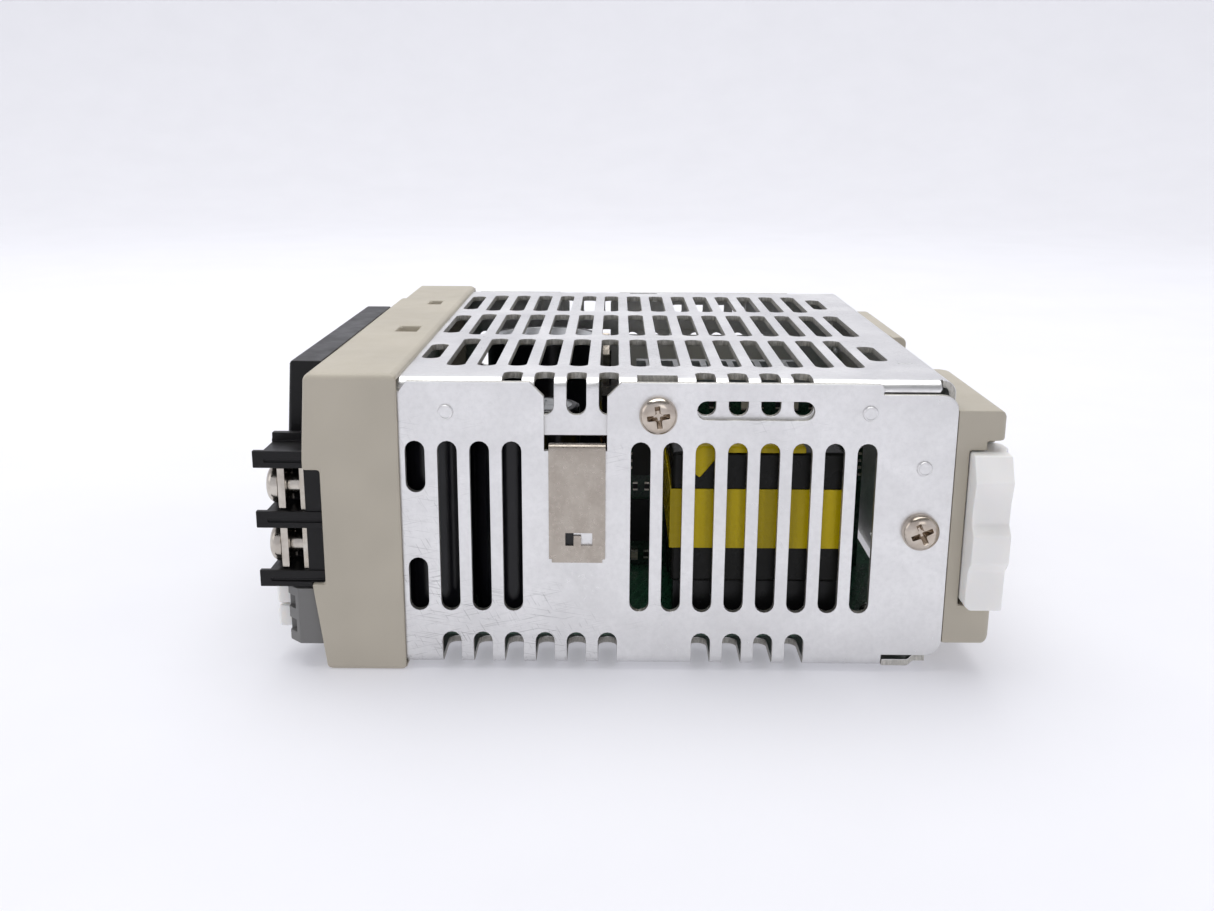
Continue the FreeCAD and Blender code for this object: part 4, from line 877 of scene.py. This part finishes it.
def display_face():
    """The display block with three digits and their points."""
    low, high = mm_box("display_module")
    x, middle = (low.x + high.x) / 2, (low.z + high.z) / 2
    pitch = 8.6
    parts = [bevelled(cad_mesh("display_module"), 0.1)]
    for k in (-1, 0, 1):
        parts.append(painted(digit(x, middle + k * pitch, low.y + 0.02), 1))
        point = turned([(0, 0), (0.45, 0), (0.45, 0.1), (0.4, 0.14), (0, 0.14)], 20)
        at = (x + 4.2, low.y + 0.02, middle + k * pitch + pitch / 2 - 0.9)
        parts.append(painted(moved(point, at, (0, -1, 0)), 1))
    return merged(parts)


def panel_print():
    """Thin printed lines on the front: a frame round the display and a dash from each key to its lamp."""
    window, lamps = mm_box("display_module"), mm_box("indicator_lights")
    face = mm_box("front_panel")[0].y
    ink, line, gap = 0.03, 0.35, 2.2
    outer = rect_loop((window[0].x - gap, window[1].x + gap), (window[0].z - gap, window[1].z + gap))
    parts = [plate(outer, [inset(outer, line)], ink, ink * 0.2)]
    for name in ("mode_button", "up_button", "down_button"):
        low, high = mm_box(name)
        z = (low.z + high.z) / 2
        dash = rect_loop((high.x + 1.0, lamps[0].x - 1.0), (z - line / 2, z + line / 2))
        parts.append(plate(dash, [], ink, ink * 0.2))
    bm = merged(parts)
    for v in bm.verts:
        x, z, depth = v.co
        v.co = (x, face - ink + depth, z)
    bmesh.ops.recalc_face_normals(bm, faces=bm.faces)
    return bm


def squeezed_spring():
    """The latch's spring, carried over from the CAD in a mesh of its own."""
    spring = piece("latch_spring_piece", "case", MAT["spring"], cad_mesh("latch_spring"), ("latch_spring",))
    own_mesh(spring)


def lanced_clip(node, sign):
    """The clip with a tongue lanced from its tail, standing back in the square hole, and a thin black sheet inside
    the hole as painted shade.
    """
    low, high = mm_box(node)
    outer = high.x if sign > 0 else low.x
    hole, tongue, sill, head = 2.2, 0.62, 22.15, 24.3
    middle = (low.y + high.y) / 2 + 0.3
    window = block(sorted((outer - sign * 0.8, outer + sign)), (middle - hole, middle + hole), (sill, head))
    clip = bevelled(carved(cad_mesh(node), window), 0.06)
    side = [(0.22, sill - 0.1), (0.0, sill - 0.1), (0.12, head - 0.5), (0.34, head - 0.5)]
    loops = [[(outer - sign * depth, y, z) for depth, z in side] for y in (middle - tongue * 1.4, middle + tongue * 0.6)]
    # painted shade: a thin black sheet part way into the hole darkens it, where the hole only lies in shade
    shade_sheet_x = sorted((outer - sign * 0.5, outer - sign * 0.44))
    painted_shade_sheet = block(shade_sheet_x, (middle - hole, middle - tongue * 1.4), (sill, head))
    return merged([clip, bevelled(loft(loops), 0.04), painted(painted_shade_sheet, 1)])


SHEET_METAL = (MAT["sheet"], MAT["sheared"])
piece("base_chassis_sheet", "case", SHEET_METAL, base_chassis(), ("base_chassis",))
piece("top_cover_sheet", "case", SHEET_METAL, top_cover(), ("top_cover",))


# ---------------------------------------------------------------- pieces carried over from the CAD
CARRIED = (
    ("front_frame", "case", "beige", 0.45, "beige_plastic"),
    ("front_panel", "case", "black", 0.3, "black_plastic"),
    ("display_window", "case", "window", 0.1, "smoked_window"),
    ("display_board", "case", "board", 0.05, "green_board"),
    ("indicator_lights", "case", "led", 0.05, "led_green"),
    ("key_switches", "case", "component", 0.1, "component_black"),
    ("voltage_trimmer", "voltage_trimmer", "white", 0.05, "white_plastic"),
    ("trimmer_base", "case", "cream", 0.1, "component_white"),
    ("output_terminal_block", "case", "black", 0.15, "black_plastic"),
    ("input_terminal_block", "case", "black", 0.15, "black_plastic"),
    ("output_bus_plates", "case", "tin", 0.05, "tinned_copper"),
    ("input_bus_plates", "case", "tin", 0.05, "tinned_copper"),
    ("signal_connector", "case", "grey", 0.15, "grey_plastic"),
    ("rail_foot", "case", "beige", 0.35, "beige_plastic"),
    ("rail_latch", "rail_latch", "white", 0.35, "white_plastic"),
    ("output_diode", "case", "component", 0.1, "component_black"),
    ("switching_transistor", "case", "component", 0.1, "component_black"),
    ("main_board", "case", "board", 0.05, "green_board"),
    ("board_spacers", "case", "zinc", 0.08, "zinc"),
    ("transformer_core", "case", "ferrite", 0.2, "ferrite"),
    ("transformer_tape", "case", "tape", 0.1, "tape_yellow"),
    ("transformer_winding", "case", "tape", 0.2, "tape_yellow"),
    ("transformer_bobbin", "case", "bobbin", 0.15, "bobbin_black"),
    ("transformer_top_tape", "case", "tape", 0.2, "tape_yellow"),
    ("line_filter_core", "case", "ferrite", 0.2, "ferrite"),
    ("film_capacitor", "case", "tape", 0.2, "tape_yellow"),
    ("bridge_rectifier", "case", "component", 0.15, "component_black"),
    ("heat_sink", "case", "sink", 0.1, "sink_aluminium"),
    ("fuse", "case", "glass", 0.1, "fuse_glass"),
    ("insulation_sheet", "case", "film", 0.03, "insulating_film"),
)
for node, body, material, bevel, slot in CARRIED:
    carried(node, body, MAT[material], bevel)
for name in ("mode_button", "up_button", "down_button"):
    carried(name, name, MAT["key"], 0.06)
for name in ("release_lever_1", "release_lever_2"):
    carried(name, name, MAT["white"], 0.12)
for side, poles in (("output", 2), ("input", 3)):
    for pole in range(1, poles + 1):
        name = f"{side}_clamp_{pole}"
        carried(name, name, MAT["terminal"], 0.1)
screws()
squeezed_spring()
piece("panel_print", "case", MAT["print"], panel_print(), ())
for node, sign in (("output_spring_clip", 1), ("input_spring_clip", -1)):
    # the second finish, black, colours the painted shade sheet inside each clip's hole
    piece(node + "_piece", "case", (MAT["satin"], MAT["component"]), lanced_clip(node, sign), (node,))
CAN = (MAT["sleeve"], MAT["sink"])
CAN_R = 6.25
caps_low, caps_high = mm_box("output_capacitors")
near_x, far_x = caps_high.x - CAN_R, caps_low.x + CAN_R
CAN_SPOTS = ((near_x, caps_low.y + CAN_R), (near_x, caps_low.y + CAN_R + 12.7),
             (far_x, caps_high.y - CAN_R - 12.8), (far_x, caps_high.y - CAN_R))
piece("output_capacitors_piece", "case", CAN, cans("output_capacitors", CAN_R, CAN_SPOTS),
      ("output_capacitors",))
big_low, big_high = mm_box("input_capacitor")
big_at = (big_low + big_high) / 2
piece("input_capacitor_piece", "case", CAN, cans("input_capacitor", (big_high.x - big_low.x) / 2, [big_at.xy]),
      ("input_capacitor",))
piece("output_choke_piece", "case", (MAT["copper"], MAT["cream"]), wound_ring(), ("output_choke",))
piece("line_filter_windings_piece", "case", (MAT["copper"], MAT["film"]), filter_coils(),
      ("line_filter_windings",))
piece("control_board_piece", "case", (MAT["board"], MAT["component"], MAT["cream"], MAT["tin"]), fitted_board(),
      ("control_board",))
piece("display_module_piece", "case", (MAT["display"], MAT["segment"]), display_face(),
      ("display_module",))


# ---------------------------------------------------------------- floor, light and camera
def soft_light(name, at, target, size, watts, color=(1, 1, 1)):
    light = bpy.data.lights.new(name, "AREA")
    light.shape = "RECTANGLE"
    light.size, light.size_y = size
    light.energy = watts
    light.color = color
    obj = bpy.data.objects.new(name, light)
    obj.location = at
    obj.rotation_mode = "QUATERNION"
    obj.rotation_quaternion = (Vector(target) - Vector(at)).to_track_quat("-Z", "Y")
    scene.collection.objects.link(obj)
    return obj


def studio():
    """A round pale floor that sweeps up into a wall, a large soft light overhead and smaller fills."""
    profile = [(0.0, 0.0), (0.3, 0.0), (0.6, 0.0), (0.9, 0.0)]
    profile += [(0.9 + 0.7 * math.sin(a), 0.7 - 0.7 * math.cos(a)) for a in (math.pi / 2 * k / 16 for k in range(1, 17))]
    profile.append((1.6, 1.5))
    bm = turned(profile, 96)
    mesh = bpy.data.meshes.new("floor")
    bm.to_mesh(mesh)
    bm.free()
    mesh.shade_smooth()
    s = Shader("paper_floor", (0.58, 0.58, 0.60), 0.75)
    s.shader.inputs["Emission Color"].default_value = (0.93, 0.93, 1.0, 1)
    s.shader.inputs["Emission Strength"].default_value = 0.30
    s.set_color(s.mix(s.mapped(s.noise(0.02, 3.0), 0.3, 0.7, 0, 1), (0.57, 0.57, 0.59), (0.59, 0.59, 0.61)))
    mesh.materials.append(s.material)
    floor = bpy.data.objects.new("floor", mesh)
    scene.collection.objects.link(floor)
    world = bpy.data.worlds.new("studio")
    world.use_nodes = True
    world.node_tree.nodes["Background"].inputs["Color"].default_value = (0.93, 0.94, 0.97, 1)
    world.node_tree.nodes["Background"].inputs["Strength"].default_value = 0.30
    scene.world = world
    target = (0, 0, 0.025)
    soft_light("key", (-0.25, -0.1, 1.1), target, (1.2, 1.2), 11.4)
    soft_light("backdrop", (-0.5, 0, 1.2), (-1.5, 0, 0.35), (0.5, 1.6), 1.8)
    soft_light("front_fill", (1.1, 0.25, 0.45), target, (0.4, 0.4), 0.4)
    soft_light("side_fill", (0.2, -1.1, 0.5), target, (0.6, 0.6), 0.8)


def photo_camera():
    data = bpy.data.cameras.new("camera")
    data.sensor_width = 36.0
    data.lens = 36.75
    data.clip_start, data.clip_end = 0.01, 20.0
    obj = bpy.data.objects.new("camera", data)
    yaw, pitch, roll = math.radians(-0.358), math.radians(14.73), math.radians(0.334)
    forward = Vector((-math.cos(pitch) * math.cos(yaw), math.cos(pitch) * math.sin(yaw), -math.sin(pitch)))
    right = forward.cross(Vector((0, 0, 1))).normalized()
    up = right.cross(forward)
    right2 = right * math.cos(roll) + up * math.sin(roll)
    up2 = up * math.cos(roll) - right * math.sin(roll)
    turn = Matrix((right2, up2, -forward)).transposed().to_4x4()
    at = Vector(((MID_X + HALF + 192.65) * MM, -2.78 * MM, 87.95 * MM))
    obj.matrix_world = Matrix.Translation(at) @ turn
    scene.collection.objects.link(obj)
    scene.camera = obj


studio()
photo_camera()
scene.view_settings.view_transform = "Standard"
